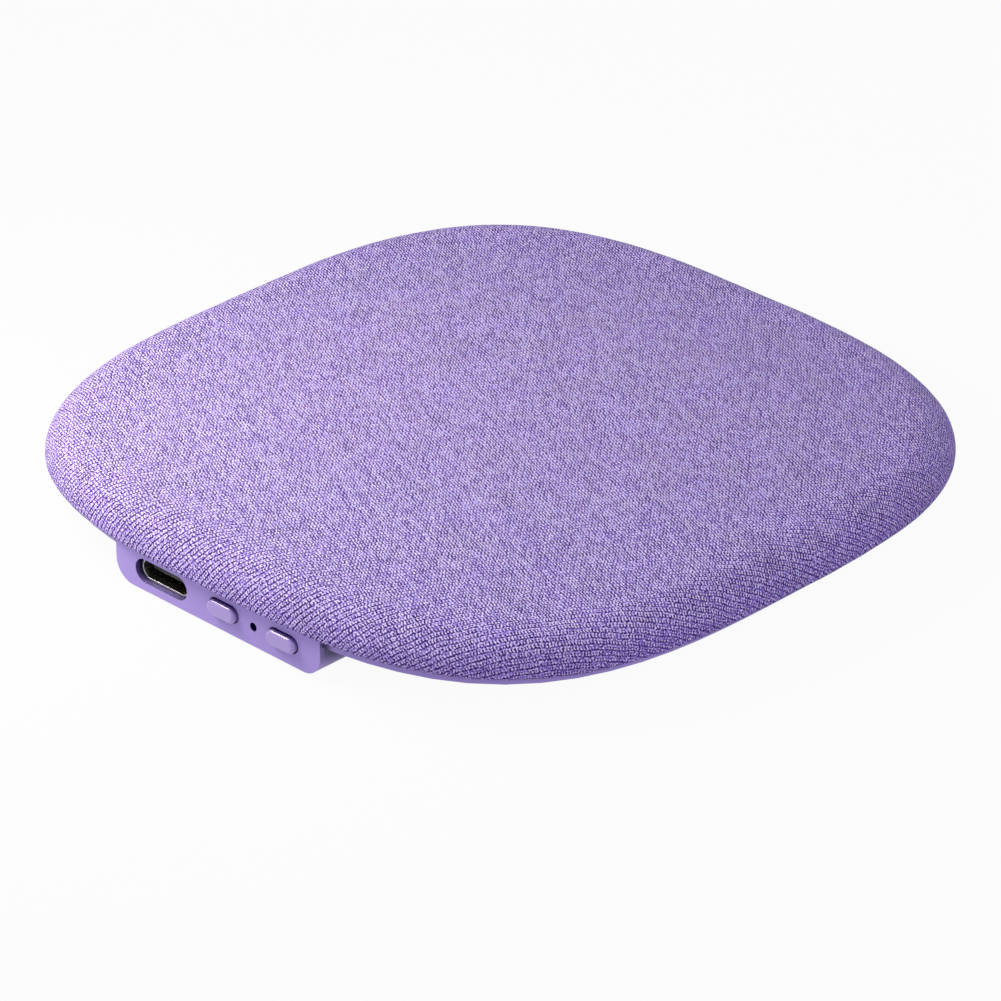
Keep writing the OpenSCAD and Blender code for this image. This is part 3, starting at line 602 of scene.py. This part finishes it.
# One finish for each material slot of the record. A comment says what it gives the eye.
FINISHES: dict[str, Finish] = {
    # Heathered knit: dotted, soft and slightly shiny at its edges
    "knit_cloth": HeatherKnit(),
    # Open-cell polyurethane foam: off-white, matt and full of fine pores
    "foam": Formed("open_cell_foam", "efebe8", "dcd6d2", 0.95, Texture.POROUS, 0.5, 0.15),
    # Satin ABS with an eroded mould texture, drawn coarser than the real 0.05 mm so that it shows, with
    # painted shade in the recesses and holes of the shell
    "lilac_plastic": Formed("satin_abs_lilac", "b3a0e2", "ab98da", 0.42, grain_mm=0.18,
                            relief_mm=0.0035, cloud_mm=9.0, ior=1.54, painted_shade="1a0a4c",
                            painted_shade_mm=7.0, painted_shade_range=(0.72, 0.97), painted_shade_own_only=True),
    # The same ABS, polished a little more, which makes the bevels of the caps bright, with painted shade in
    # the gaps round the caps
    "button_plastic": Formed("polished_abs_lilac", "b29edc", "a994d4", 0.2, grain_mm=0.15,
                             relief_mm=0.0015, ior=1.54, coat=0.6, painted_shade="1c0c52"),
    # Moulded silicone rubber: dull dark grey with a soft edge highlight
    "rubber_foot": Formed("silicone_rubber_grey", "4b4854", "403d49", 0.78, Texture.CAST, 0.25,
                          0.006, ior=1.43),
    "rubber_boot": Formed("silicone_rubber_black", "26242b", "1d1b22", 0.8, Texture.CAST, 0.2,
                          0.005, ior=1.43),
    # Zinc-plated steel: pale grey with a slightly cloudy gloss
    "screw_steel": Formed("zinc_plated_steel", "b9bbc0", "a5a8ae", 0.34, Texture.CAST, 0.2, 0.003,
                          metal=True),
    # Nickel-plated stainless steel, drawn and bright
    "socket_steel": Formed("nickel_plated_stainless_steel", "d8d6d2", "c4c2be", 0.26,
                           Texture.BRUSHED, 0.1, 0.002, metal=True),
    # Tinplate: bright with rolling marks
    "can_steel": Formed("tinplate", "cfd1d3", "bcbec1", 0.3, Texture.BRUSHED, 0.15, 0.002,
                        metal=True),
    # Rolled spring steel, etched: darker and even
    "spring_steel": Formed("rolled_spring_steel", "a3a7ad", "8f9399", 0.36, Texture.BRUSHED, 0.2,
                           0.002, metal=True),
    # Nickel-plated low-carbon steel of the yoke and pole plate: warm grey, softly mottled
    "yoke_steel": Formed("nickel_plated_mild_steel", "c3c2bd", "b0afa9", 0.3, Texture.CAST, 0.3,
                         0.002, metal=True),
    # Sintered neodymium with nickel plating: bright grey with faint pits
    "magnet": Formed("nickel_plated_neodymium", "b3b4b8", "9fa0a5", 0.28, Texture.CAST, 0.4, 0.004,
                     metal=True),
    # Enamelled copper wire, wound in close turns: fine glossy bands
    "coil_copper": Formed("enamelled_copper_wire", "b8642f", "8f4a22", 0.34, Texture.WOUND, 0.12,
                          0.03, metal=True),
    # Hard gold plating on the contacts: warm and bright
    "contact_gold": Formed("hard_gold_plating", "e3bb63", "d3a94f", 0.24, Texture.BRUSHED, 0.08,
                           0.001, metal=True),
    # Green solder mask over copper tracks: glossy, with the tracks standing out a little
    "circuit_board": Formed("green_solder_mask", "1f6b3f", "155233", 0.38, Texture.PRINTED, 0.4,
                            0.02, coat=0.3),
    # Glass-filled nylon and moulded epoxy: near black with a fine grain
    "black_resin": Formed("glass_filled_nylon_black", "1c1b1f", "131216", 0.5, Texture.CAST, 0.15,
                          0.004, ior=1.53),
    # Natural liquid-crystal polymer of the header and the stems: ivory with a satin face
    "ivory_resin": Formed("natural_liquid_crystal_polymer", "e6dcc3", "d8ccb0", 0.48,
                          grain_mm=0.15, ior=1.6),
    # Glass-filled nylon of the switch housings: dark grey with a fine grain
    "switch_body": Formed("glass_filled_nylon_grey", "4a4a4e", "3d3d41", 0.5, Texture.CAST, 0.15,
                          0.004, ior=1.53),
    # Aluminium laminate pouch: silver, soft gloss, faint creases
    "pouch_foil": Formed("aluminium_laminate_pouch", "c9ccd0", "b4b8bd", 0.34, Texture.CREASED,
                         6.0, 0.05, metal=True),
    # Acrylic foam tape: matt straw yellow with fine pores
    "adhesive_tape": Formed("acrylic_foam_tape", "d9cfa6", "c9be92", 0.7, Texture.POROUS, 0.4,
                            0.03),
    # PVC wire insulation with a soft gloss
    "red_wire": Formed("pvc_insulation_red", "b3202a", "98161f", 0.42, grain_mm=0.3, ior=1.53),
    "black_wire": Formed("pvc_insulation_black", "1b1a1d", "121114", 0.42, grain_mm=0.3, ior=1.53),
}


@dataclass(frozen=True)
class Outline:
    """The rounded-square outline of the pad, the same curve as the construction's."""

    power: float = 3.15

    def point(self, half: float, angle: float) -> Vector:
        """Finds where a ray from the middle meets the outline.

        Args:
            half: half the outline's width, in metres.
            angle: the ray's angle from the X axis, in radians.

        Returns:
            The point in the XY plane.
        """
        c, s = math.cos(angle), math.sin(angle)
        reach = half / (abs(c) ** self.power + abs(s) ** self.power) ** (1 / self.power)
        return Vector((reach * c, reach * s))

    def outward(self, angle: float) -> Vector:
        """Finds the outline's outward direction where a ray meets it.

        Args:
            angle: the ray's angle from the X axis, in radians.

        Returns:
            The direction in the XY plane, of length one.
        """
        c, s = math.cos(angle), math.sin(angle)
        slope = Vector((math.copysign(abs(c) ** (self.power - 1), c),
                        math.copysign(abs(s) ** (self.power - 1), s)))
        return slope.normalized()


@dataclass(frozen=True)
class Crown:
    """Section of the pad's soft top, in metres. Each depth is taken below the cloth's outside."""

    half_side: float
    z_wide: float
    rise: float = 5.0 * MM
    run: float = 5.6 * MM
    crown: float = 0.35 * MM

    @property
    def half_top(self) -> float:
        """Half width of the flat top."""
        return self.half_side - self.run

    def height(self, share: float, depth: float) -> float:
        """Returns the top's height at a share of its half width, from 0 in the middle to 1."""
        return self.z_wide + self.rise - depth + self.crown * (1 - share * share)

    def shoulder(self, depth: float, low_z: float, steps: int) -> list[tuple[float, float]]:
        """Works out the rounded shoulder.

        Args:
            depth: depth below the cloth's outside.
            low_z: height at which the shoulder ends.
            steps: number of rings.

        Returns:
            Half width and height of each ring, from the top edge down, without the top edge itself.
        """
        end = math.asin((low_z - self.z_wide) / (self.rise - depth))
        angles = (math.pi / 2 - (math.pi / 2 - end) * (k + 1) / steps for k in range(steps))
        return [(self.half_top + (self.run - depth) * math.cos(a),
                 self.z_wide + (self.rise - depth) * math.sin(a)) for a in angles]


@dataclass
class Skin:
    """A rounded-square skin that starts as a square grid and grows outwards ring by ring.

    Each vertex keeps its place on the unrolled cloth, so that a pattern runs on over the shoulder.
    """

    mesh: BMesh
    outline: Outline
    crown: Crown
    depth: float
    cells: int
    rim: list[bmesh.types.BMEdge] = field(default_factory=list)
    reach: float = 0.0
    last: tuple[float, float] = (0.0, 0.0)
    # The cloth is drawn hardest over the front edge, where the painted shade in its gaps is darkest: its
    # angle, its spread and the least pull
    front: float = -98.0
    front_spread: float = 60.0
    least_pull: float = 0.3
    # The share of the flat top where it starts to be drawn, and how much it is at the top's edge
    drawn_from: float = 0.75
    drawn_at_edge: float = 0.4
    # The share of the crown's rise, along the cloth, past which it tightens and takes painted shade towards
    # its hem
    hem_from: float = 0.6

    def start(self) -> None:
        """Makes the crowned top from a grid, and takes its border as the rim."""
        layer = self.mesh.verts.layers.float_vector["unrolled"]
        drawn = self.mesh.verts.layers.float["drawn"]
        made = bmesh.ops.create_grid(self.mesh, x_segments=self.cells, y_segments=self.cells,
                                     size=1.0)
        for vert in made["verts"]:
            share = max(abs(vert.co.x), abs(vert.co.y))
            angle = math.atan2(vert.co.y, vert.co.x)
            place = self.outline.point(self.crown.half_top * share, angle)
            vert.co = (place.x, place.y, self.crown.height(share, self.depth))
            vert[layer] = (place.x, place.y, 0.0)
            vert[drawn] = (self.drawn_at_edge * max(0.0, share - self.drawn_from)
                           / (1 - self.drawn_from) * self.pull(angle))
        own = set(made["verts"])
        self.rim = [e for e in self.mesh.edges if e.is_boundary and e.verts[0] in own]
        self.last = (self.crown.half_top, self.crown.height(1.0, self.depth))

    def pull(self, angle: float) -> float:
        """Returns how hard the cloth is drawn over the edge at an angle, hardest at the front."""
        near = nearness(angle, self.front, self.front_spread)
        return self.least_pull + (1 - self.least_pull) * near

    def ring(self, half: float, z: float, widen: float = 0.0,
             sag: Callable[[float], float] = lambda angle: 0.0) -> None:
        """Grows the skin by one ring.

        Args:
            half: half width of the new ring.
            z: its height.
            widen: how much wider the ring is for each unit that it sags.
            sag: how far the ring hangs lower at an angle.
        """
        layer = self.mesh.verts.layers.float_vector["unrolled"]
        drawn = self.mesh.verts.layers.float["drawn"]
        hem = self.mesh.verts.layers.float["hem"]
        self.reach += math.hypot(half - self.last[0], z - self.last[1])
        self.last = (half, z)
        share = self.reach / self.crown.rise
        made = bmesh.ops.extrude_edge_only(self.mesh, edges=self.rim)["geom"]
        for vert in (g for g in made if isinstance(g, bmesh.types.BMVert)):
            angle = math.atan2(vert.co.y, vert.co.x)
            lower = sag(angle)
            place = self.outline.point(half + lower * widen, angle)
            beyond = self.reach - (half - self.crown.half_top)
            flat = self.outline.point(half, angle) + self.outline.outward(angle) * beyond
            vert.co = (place.x, place.y, z - lower)
            vert[layer] = (flat.x, flat.y, 0.0)
            vert[drawn] = (min(self.drawn_at_edge + (1 - self.drawn_at_edge) * share, 1.0)
                           * self.pull(angle))
            vert[hem] = min(max(share - self.hem_from, 0.0), 1.0)
        self.rim = [g for g in made if isinstance(g, bmesh.types.BMEdge) and g.is_boundary]


def keep(mesh: BMesh, name: str, body: Optional[str], slot: str,
         replaces: Sequence[str] = (), sharp: Optional[float] = None) -> bpy.types.Object:
    """Turns a finished bmesh into a piece that rides on its body.

    Args:
        mesh: the bmesh, which is freed.
        name: the piece's name.
        body: the body that it moves with, or None for a piece that bends between two bodies.
        slot: its material slot in the record.
        replaces: the nodes that it stands for.
        sharp: the angle in degrees past which an edge is shaded sharp, or None for a smooth piece.

    Returns:
        The new object.
    """
    data = bpy.data.meshes.new(name)
    mesh.to_mesh(data)
    mesh.free()
    data.polygons.foreach_set("use_smooth", [True] * len(data.polygons))
    if sharp is not None:
        data.set_sharp_from_angle(angle=math.radians(sharp))
    data.materials.append(FINISHES[slot].make())
    piece = show(name, data)
    if body:
        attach(piece, body)
    if replaces:
        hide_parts(*replaces)
    log.info("%s: %d faces", name, len(data.polygons))
    return piece


@dataclass
class SoftTop:
    """The pad's two soft layers: the knit cloth drawn over a foam layer."""

    outline: Outline
    turn_in: float = 1.45 * MM
    turn_drop: float = 0.9 * MM
    sag: float = 0.7 * MM
    sag_middle: float = 25.0
    sag_spread: float = 95.0
    sag_power: float = 1.5
    sag_room: float = 0.3 * MM
    cloth: float = 0.6 * MM
    foam: float = 1.4 * MM
    gap: float = 0.1 * MM
    hem_inset: float = 1.4 * MM
    # The blank's corners are cut round, as the outline is, so it has this share of its square
    blank_share: float = 0.93
    cells: int = 150
    inner_cells: int = 48
    shoulder_steps: int = 16
    turn_steps: int = 8
    wave: float = 0.07 * MM
    wave_pitch: float = 11.0 * MM
    # A finer wave lies over the first, with its own height, number and start
    fine_wave: float = 0.5
    fine_count: float = 2.7
    fine_start: tuple[float, float, float] = (5.0, 1.0, 3.0)
    # Sizes that the frame gives
    crown: Crown = field(init=False)
    z_edge: float = field(init=False)
    z_hem: float = field(init=False)
    z_shell: float = field(init=False)
    half_hem: float = field(init=False)

    def __post_init__(self) -> None:
        """Takes the sizes that the frame gives."""
        low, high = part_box("fabric_cover")
        self.z_edge = low.z
        self.crown = Crown(half_side=high.x, z_wide=low.z + self.turn_drop)
        self.half_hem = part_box("top_shell")[1].x - self.hem_inset
        self.z_hem = self.z_edge + self.cloth
        self.z_shell = self.z_hem + self.gap

    def skin(self, mesh: BMesh, depth: float, cells: int) -> Skin:
        """Starts a skin.

        Args:
            mesh: the bmesh that gets it.
            depth: its depth below the cloth's outside.
            cells: the number of cells along its flat top.

        Returns:
            The skin, with its flat top made.
        """
        skin = Skin(mesh, self.outline, self.crown, depth, cells)
        skin.start()
        return skin

    def hang(self, angle: float) -> float:
        """Returns how much lower the turn hangs at an angle, which is most on the right side."""
        return self.sag * nearness(angle, self.sag_middle, self.sag_spread) ** self.sag_power

    def outer_face(self, mesh: BMesh) -> Skin:
        """Makes the cloth's outside: top, shoulder, turn and the flat hem under the top shell.

        Args:
            mesh: the bmesh that gets it.

        Returns:
            The skin, with the hem's inner edge as its rim.
        """
        skin = self.skin(mesh, 0.0, self.cells)
        for half, z in self.crown.shoulder(0.0, self.crown.z_wide, self.shoulder_steps):
            skin.ring(half, z)
        for k in range(self.turn_steps):
            a = math.pi / 2 * (k + 1) / self.turn_steps
            skin.ring(self.crown.half_side - self.turn_in * (1 - math.cos(a)),
                      self.crown.z_wide - self.turn_drop * math.sin(a),
                      self.sag_room / self.sag * (1 - math.cos(a)),
                      lambda angle, share=math.sin(a): share * self.hang(angle))
        # Where the turn hangs lower, it goes back up beside the rim, then in under the top shell
        skin.ring(self.crown.half_side - self.turn_in, self.z_edge)
        skin.ring(self.half_hem, self.z_edge)
        return skin

    def inner_face(self, mesh: BMesh, depth: float, low_z: float) -> Skin:
        """Makes a face of a layer that the cloth hides: the flat top and the shoulder.

        Args:
            mesh: the bmesh that gets it.
            depth: its depth below the cloth's outside.
            low_z: the height at which it ends.

        Returns:
            The skin, with its lower edge as its rim.
        """
        skin = self.skin(mesh, depth, self.inner_cells)
        for half, z in self.crown.shoulder(depth, low_z, self.shoulder_steps // 2):
            skin.ring(half, z)
        return skin

    def ripple(self, mesh: BMesh) -> None:
        """Gives the cloth its slight unevenness, by moving each vertex along its normal.

        Args:
            mesh: the bmesh with the cloth's outside.
        """
        mesh.normal_update()
        layer = mesh.verts.layers.float_vector["unrolled"]
        for vert in mesh.verts:
            place = vert[layer] / self.wave_pitch
            finer = noise.noise(place * self.fine_count + Vector(self.fine_start))
            vert.co += vert.normal * (noise.noise(place) + self.fine_wave * finer) * self.wave

    def wrap(self, name: str, slot: str, faces: tuple[Skin, Skin], mesh: BMesh,
             node: str) -> bpy.types.Object:
        """Joins the two faces of a layer at their rims and keeps the piece.

        Args:
            name: the piece's name.
            slot: its material slot in the record.
            faces: the layer's outside and inside.
            mesh: the bmesh that holds both.
            node: the node that the piece stands for.

        Returns:
            The new object.
        """
        bmesh.ops.bridge_loops(mesh, edges=faces[0].rim + faces[1].rim)
        bmesh.ops.recalc_face_normals(mesh, faces=mesh.faces)
        layer = mesh.verts.layers.float_vector["unrolled"]
        cloth = mesh.loops.layers.uv.new("cloth")
        for face in mesh.faces:
            for loop in face.loops:
                loop[cloth].uv = (loop.vert[layer].x / MM, loop.vert[layer].y / MM)
        return keep(mesh, name, "housing", slot, (node,))

    def blank_mesh(self) -> BMesh:
        """Starts a bmesh for a layer.

        Returns:
            An empty bmesh whose vertices know their place on the cloth, how far it is drawn there
            and how near its hem is.
        """
        mesh = bmesh.new()
        mesh.verts.layers.float_vector.new("unrolled")
        mesh.verts.layers.float.new("drawn")
        mesh.verts.layers.float.new("hem")
        return mesh

    def build(self) -> None:
        """Builds the cloth and the foam under it."""
        mesh = self.blank_mesh()
        outside = self.outer_face(mesh)
        self.ripple(mesh)
        inside = self.inner_face(mesh, self.cloth, self.z_hem)
        cover = self.wrap("knit_cover", "knit_cloth", (outside, inside), mesh, "fabric_cover")

        mesh = self.blank_mesh()
        depth = self.cloth + self.gap
        faces = (self.inner_face(mesh, depth, self.z_shell),
                 self.inner_face(mesh, depth + self.foam, self.z_shell))
        pad = self.wrap("foam_layer", "foam", faces, mesh, "foam_pad")


@dataclass
class Softened:
    """A rigid piece of the construction whose sharp outer edges get their real small radius."""

    node: str
    body: str
    slot: str
    radius: float = 0.12 * MM
    segments: int = 2
    # An outer edge that turns by more degrees than this is rounded
    corner: float = 35.0
    # Faces that turn by fewer degrees than this from each other are one flat face
    flat: float = 0.5

    def build(self) -> None:
        """Copies the node, merges its loose triangles into whole faces and rounds its edges."""
        mesh = bmesh.new()
        mesh.from_mesh(frame["nodes"][self.node].data)
        bmesh.ops.remove_doubles(mesh, verts=mesh.verts, dist=MERGE)
        bmesh.ops.dissolve_limit(mesh, angle_limit=math.radians(self.flat), verts=mesh.verts,
                                 edges=mesh.edges)
        limit = math.radians(self.corner)
        edges = [e for e in mesh.edges if e.is_manifold and e.is_convex
                 and e.calc_face_angle(0.0) > limit]
        bmesh.ops.bevel(mesh, geom=edges, offset=self.radius, segments=self.segments, profile=0.5,
                        affect="EDGES", clamp_overlap=True, material=-1)
        piece = keep(mesh, self.node + "_softened", self.body, self.slot, (self.node,), SHARP)
        weighted = piece.modifiers.new("face_weights", "WEIGHTED_NORMAL")
        weighted.keep_sharp = True


@dataclass
class Suspension:
    """The driver's flat spring: a rim that stays, a ring on the yoke, and arms that bend."""

    rim: float = 0.8 * MM
    ring: float = 1.2 * MM
    arm: float = 0.5 * MM
    tie_width: float = 1.0 * MM
    bite: float = 0.05 * MM
    turn: float = 80.0
    count: int = 3
    step: float = 4.0
    # Sizes that the frame gives
    z_middle: float = field(init=False)
    thick: float = field(init=False)
    rim_in: float = field(init=False)
    ring_r: float = field(init=False)
    middle: float = field(init=False)

    def __post_init__(self) -> None:
        """Takes the sizes that the frame gives."""
        low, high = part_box("suspension_spring")
        self.z_middle, self.thick = (low.z + high.z) / 2, high.z - low.z
        self.rim_in = high.x - self.rim
        self.ring_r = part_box("driver_yoke")[1].x
        self.middle = (self.rim_in + self.ring_r) / 2

    def section(self, inner: float, outer: float, width: float) -> Matrix:
        """Returns the matrix from a unit cube to a block on the X axis at the spring's height."""
        place = Matrix.Translation(((inner + outer) / 2, 0, self.z_middle))
        return place @ Matrix.Diagonal((outer - inner, width, self.thick, 1.0))

    def band(self, mesh: BMesh, inner: float, outer: float, turn: float) -> None:
        """Spins an upright rectangle about the driver's axis.

        Args:
            mesh: the bmesh that gets the band.
            inner: inner radius.
            outer: outer radius.
            turn: how far the band runs, in degrees. A whole turn closes it.
        """
        upright = self.section(inner, outer, 1.0) @ Matrix.Rotation(math.pi / 2, 4, "X")
        made = bmesh.ops.create_grid(mesh, x_segments=1, y_segments=1, size=0.5,
                                     matrix=upright)["verts"]
        edges = list({edge for vert in made for edge in vert.link_edges})
        faces = list({face for vert in made for face in vert.link_faces})
        if turn >= 360:
            bmesh.ops.delete(mesh, geom=faces, context="FACES_ONLY")
            faces = []
        bmesh.ops.spin(mesh, geom=made + edges + faces, cent=(0, 0, 0), axis=(0, 0, 1),
                       angle=math.radians(turn), steps=round(turn / self.step))
        bmesh.ops.remove_doubles(mesh, verts=mesh.verts, dist=MERGE)
        bmesh.ops.recalc_face_normals(mesh, faces=mesh.faces)

    def bend(self, number: int) -> None:
        """Builds one arm with its two ties, and lets it bend between the rim and the ring.

        Args:
            number: the arm's number, from 0.
        """
        mesh = bmesh.new()
        self.band(mesh, self.middle - self.arm / 2, self.middle + self.arm / 2, self.turn)
        far = Matrix.Rotation(math.radians(self.turn), 4, "Z")
        inner_tie = self.section(self.ring_r - self.bite, self.middle, self.tie_width)
        outer_tie = far @ self.section(self.middle, self.rim_in + self.bite, self.tie_width)
        for tie in (inner_tie, outer_tie):
            bmesh.ops.create_cube(mesh, size=1.0, matrix=tie)
        turned = Matrix.Rotation(2 * math.pi * number / self.count, 4, "Z")
        bmesh.ops.transform(mesh, matrix=turned, verts=mesh.verts)
        piece = keep(mesh, f"spring_arm_{number}", None, "spring_steel", sharp=SHARP)
        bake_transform(piece, "housing", "magnet_mass",
                 start=tuple(turned @ far @ Vector((self.rim_in, 0, self.z_middle))),
                 end=tuple(turned @ Vector((self.ring_r, 0, self.z_middle))))

    def build(self) -> None:
        """Builds the rim, the ring and the arms."""
        rim_out, ring_in = self.rim_in + self.rim, self.ring_r - self.ring
        for name, body, inner, outer, nodes in (
                ("spring_rim", "housing", self.rim_in, rim_out, ("suspension_spring",)),
                ("spring_ring", "magnet_mass", ring_in, self.ring_r, ())):
            mesh = bmesh.new()
            self.band(mesh, inner, outer, 360.0)
            keep(mesh, name, body, "spring_steel", nodes, SHARP)
        for number in range(self.count):
            self.bend(number)


@dataclass
class RigidParts:
    """Every rigid piece: those that show get softened edges, the rest keep the node's own mesh."""

    softened: tuple[Softened, ...] = (
        Softened("base_shell", "housing", "lilac_plastic"),
        Softened("usb_shell", "housing", "socket_steel", 0.06 * MM),
        Softened("usb_insulator", "housing", "black_resin", 0.06 * MM),
        *(Softened(f"{side}_button_cap", f"{side}_button", "button_plastic", 0.16 * MM, 3, 25.0)
          for side in ("left", "right")),
        *(Softened(f"foot_{place}", "housing", "rubber_foot", 0.1 * MM, corner=25.0)
          for place in ("front_left", "front_right", "rear_left", "rear_right")),
    )

    def build(self) -> None:
        """Softens the pieces that show and gives every node its finish."""
        for piece in self.softened:
            piece.build()
        slots = {part["node"]: part["material_slot"] for part in frame["record"]["subparts"]}
        for node, shown in frame["nodes"].items():
            shown.data.materials.clear()
            shown.data.materials.append(FINISHES[slots[node]].make())
        log.info("%d nodes given their finish", len(slots))


@dataclass
class Studio:
    """Plain pale floor, plain soft light, and the camera at the photograph's viewing angle."""

    azimuth: float = 44.47
    elevation: float = 28.38
    distance: float = 0.803
    focal_px: float = 6132.0
    image_px: float = 1001.0
    drop_px: float = 55.0
    clip: tuple[float, float] = (0.05, 20.0)
    sensor_mm: float = 36.0
    # The floor's middle lies beside the pad, because its seam would show under the feet from below
    floor_half: float = 4.0
    floor_aside: float = 0.8
    floor_colour: str = "cdccd2"
    floor_white: float = 0.95
    white: str = "ffffff"
    fill: float = 0.51
    fill_colour: str = "ded8ff"
    lamp_colour: str = "fff6f1"
    # The key lamp hangs near, to the left and in front, so that its light falls off to the right
    key_place: tuple[float, float, float] = (-0.0750, -0.0850, 0.0950)
    key_size: float = 0.06
    key_power: float = 0.2
    # The side lamp stands to the right, so that the roll there keeps its light
    side_place: tuple[float, float, float] = (0.2600, -0.0400, 0.1300)
    side_size: float = 0.15
    side_power: float = 0.17

    def back(self) -> Vector:
        """Returns the direction from the pad to the camera."""
        a, e = math.radians(self.azimuth), math.radians(self.elevation)
        return Vector((math.sin(a) * math.cos(e), -math.cos(a) * math.cos(e), math.sin(e)))

    def camera(self, target: Vector) -> None:
        """Places the camera, tipped down a little so that the pad lies above the picture's middle.

        Args:
            target: the middle of the pad's widest line.
        """
        data = bpy.data.cameras.new("camera")
        data.sensor_width = self.sensor_mm
        data.lens = self.focal_px / self.image_px * self.sensor_mm
        data.clip_start, data.clip_end = self.clip
        eye = show("camera", data)
        bpy.context.scene.camera = eye
        back = self.back()
        right = Vector((0, 0, 1)).cross(back).normalized()
        tip = Matrix.Rotation(-math.atan(self.drop_px / self.focal_px), 4, right)
        eye.location = target + back * self.distance
        eye.rotation_mode = "QUATERNION"
        eye.rotation_quaternion = (tip.to_3x3() @ -back).to_track_quat("-Z", "Y")

    def lamp(self, name: str, place: Vector, aim: Vector, size: float, power: float) -> None:
        """Adds a square soft lamp.

        Args:
            name: the lamp's name.
            place: where it hangs.
            aim: the point that it faces.
            size: its side.
            power: its power in watts.
        """
        data = bpy.data.lights.new(name, "AREA")
        data.shape, data.size, data.energy = "SQUARE", size, power
        data.color = linear(self.lamp_colour)[:3]
        light = show(name, data)
        light.location = place
        light.rotation_mode = "QUATERNION"
        light.rotation_quaternion = (aim - place).to_track_quat("-Z", "Y")

    def seen(self, tree: Tree) -> Socket:
        """Picks out the rays that show the background: those of the camera, of gloss and of glass.

        Args:
            tree: the node tree of the floor or of the world.

        Returns:
            One for such a ray, and zero for any other.
        """
        path = add(tree, "LightPath").outputs
        shows = path["Is Camera Ray"]
        for kind in ("Is Glossy Ray", "Is Transmission Ray"):
            shows = add(tree, "Math", {0: shows, 1: path[kind]}, operation="MAXIMUM").outputs[0]
        return shows

    def floor(self) -> None:
        """Lays a pale floor that keeps the shadow and is white to the camera."""
        mesh = bmesh.new()
        bmesh.ops.create_grid(mesh, x_segments=1, y_segments=1, size=self.floor_half,
                              matrix=Matrix.Translation((self.floor_aside, 0, 0)))
        data = bpy.data.meshes.new("floor")
        mesh.to_mesh(data)
        mesh.free()
        material = bpy.data.materials.new("pale_floor")
        tree = empty_tree(material)
        below = add(tree, "NewGeometry").outputs["Backfacing"]
        matt = add(tree, "BsdfDiffuse", {"Color": linear(self.floor_colour)}).outputs[0]
        white = add(tree, "Emission", {"Color": linear(self.white), "Strength": 1.0}).outputs[0]
        share = add(tree, "Math", {0: self.seen(tree), 1: self.floor_white},
                    operation="MULTIPLY").outputs[0]
        mixed = add(tree, "MixShader", {0: share, 1: matt, 2: white}).outputs[0]
        # From below the floor is clear, so that the feet and the underside can be seen
        clear = add(tree, "BsdfTransparent").outputs[0]
        surface = add(tree, "MixShader", {0: below, 1: mixed, 2: clear}).outputs[0]
        add(tree, "OutputMaterial", {"Surface": surface})
        data.materials.append(material)
        show("floor", data)

    def world(self) -> None:
        """Fills the room with soft light, and shows white to the camera."""
        world = bpy.data.worlds.new("studio")
        bpy.context.scene.world = world
        tree = empty_tree(world)
        fill = add(tree, "Background", {"Color": linear(self.fill_colour), "Strength": self.fill})
        white = add(tree, "Background", {"Color": linear(self.white), "Strength": 1.0})
        mixed = add(tree, "MixShader", {0: self.seen(tree), 1: fill.outputs[0],
                                        2: white.outputs[0]}).outputs[0]
        add(tree, "OutputWorld", {"Surface": mixed})

    def build(self, target: Vector) -> None:
        """Sets up the camera, the floor, the room light and the two lamps.

        Args:
            target: the middle of the pad's widest line.
        """
        self.camera(target)
        self.floor()
        self.world()
        self.lamp("key", target + Vector(self.key_place), target, self.key_size, self.key_power)
        self.lamp("side", target + Vector(self.side_place), target, self.side_size, self.side_power)
        bpy.context.scene.view_settings.view_transform = "Standard"


def main() -> None:
    """Builds the scene round the frame."""
    logging.basicConfig(level=logging.INFO, format="%(name)s: %(message)s")
    soft = SoftTop(Outline())
    Studio().build(Vector((0.0, 0.0, soft.crown.z_wide)))
    soft.build()
    Suspension().build()
    RigidParts().build()


if __name__ == "__main__":
    main()
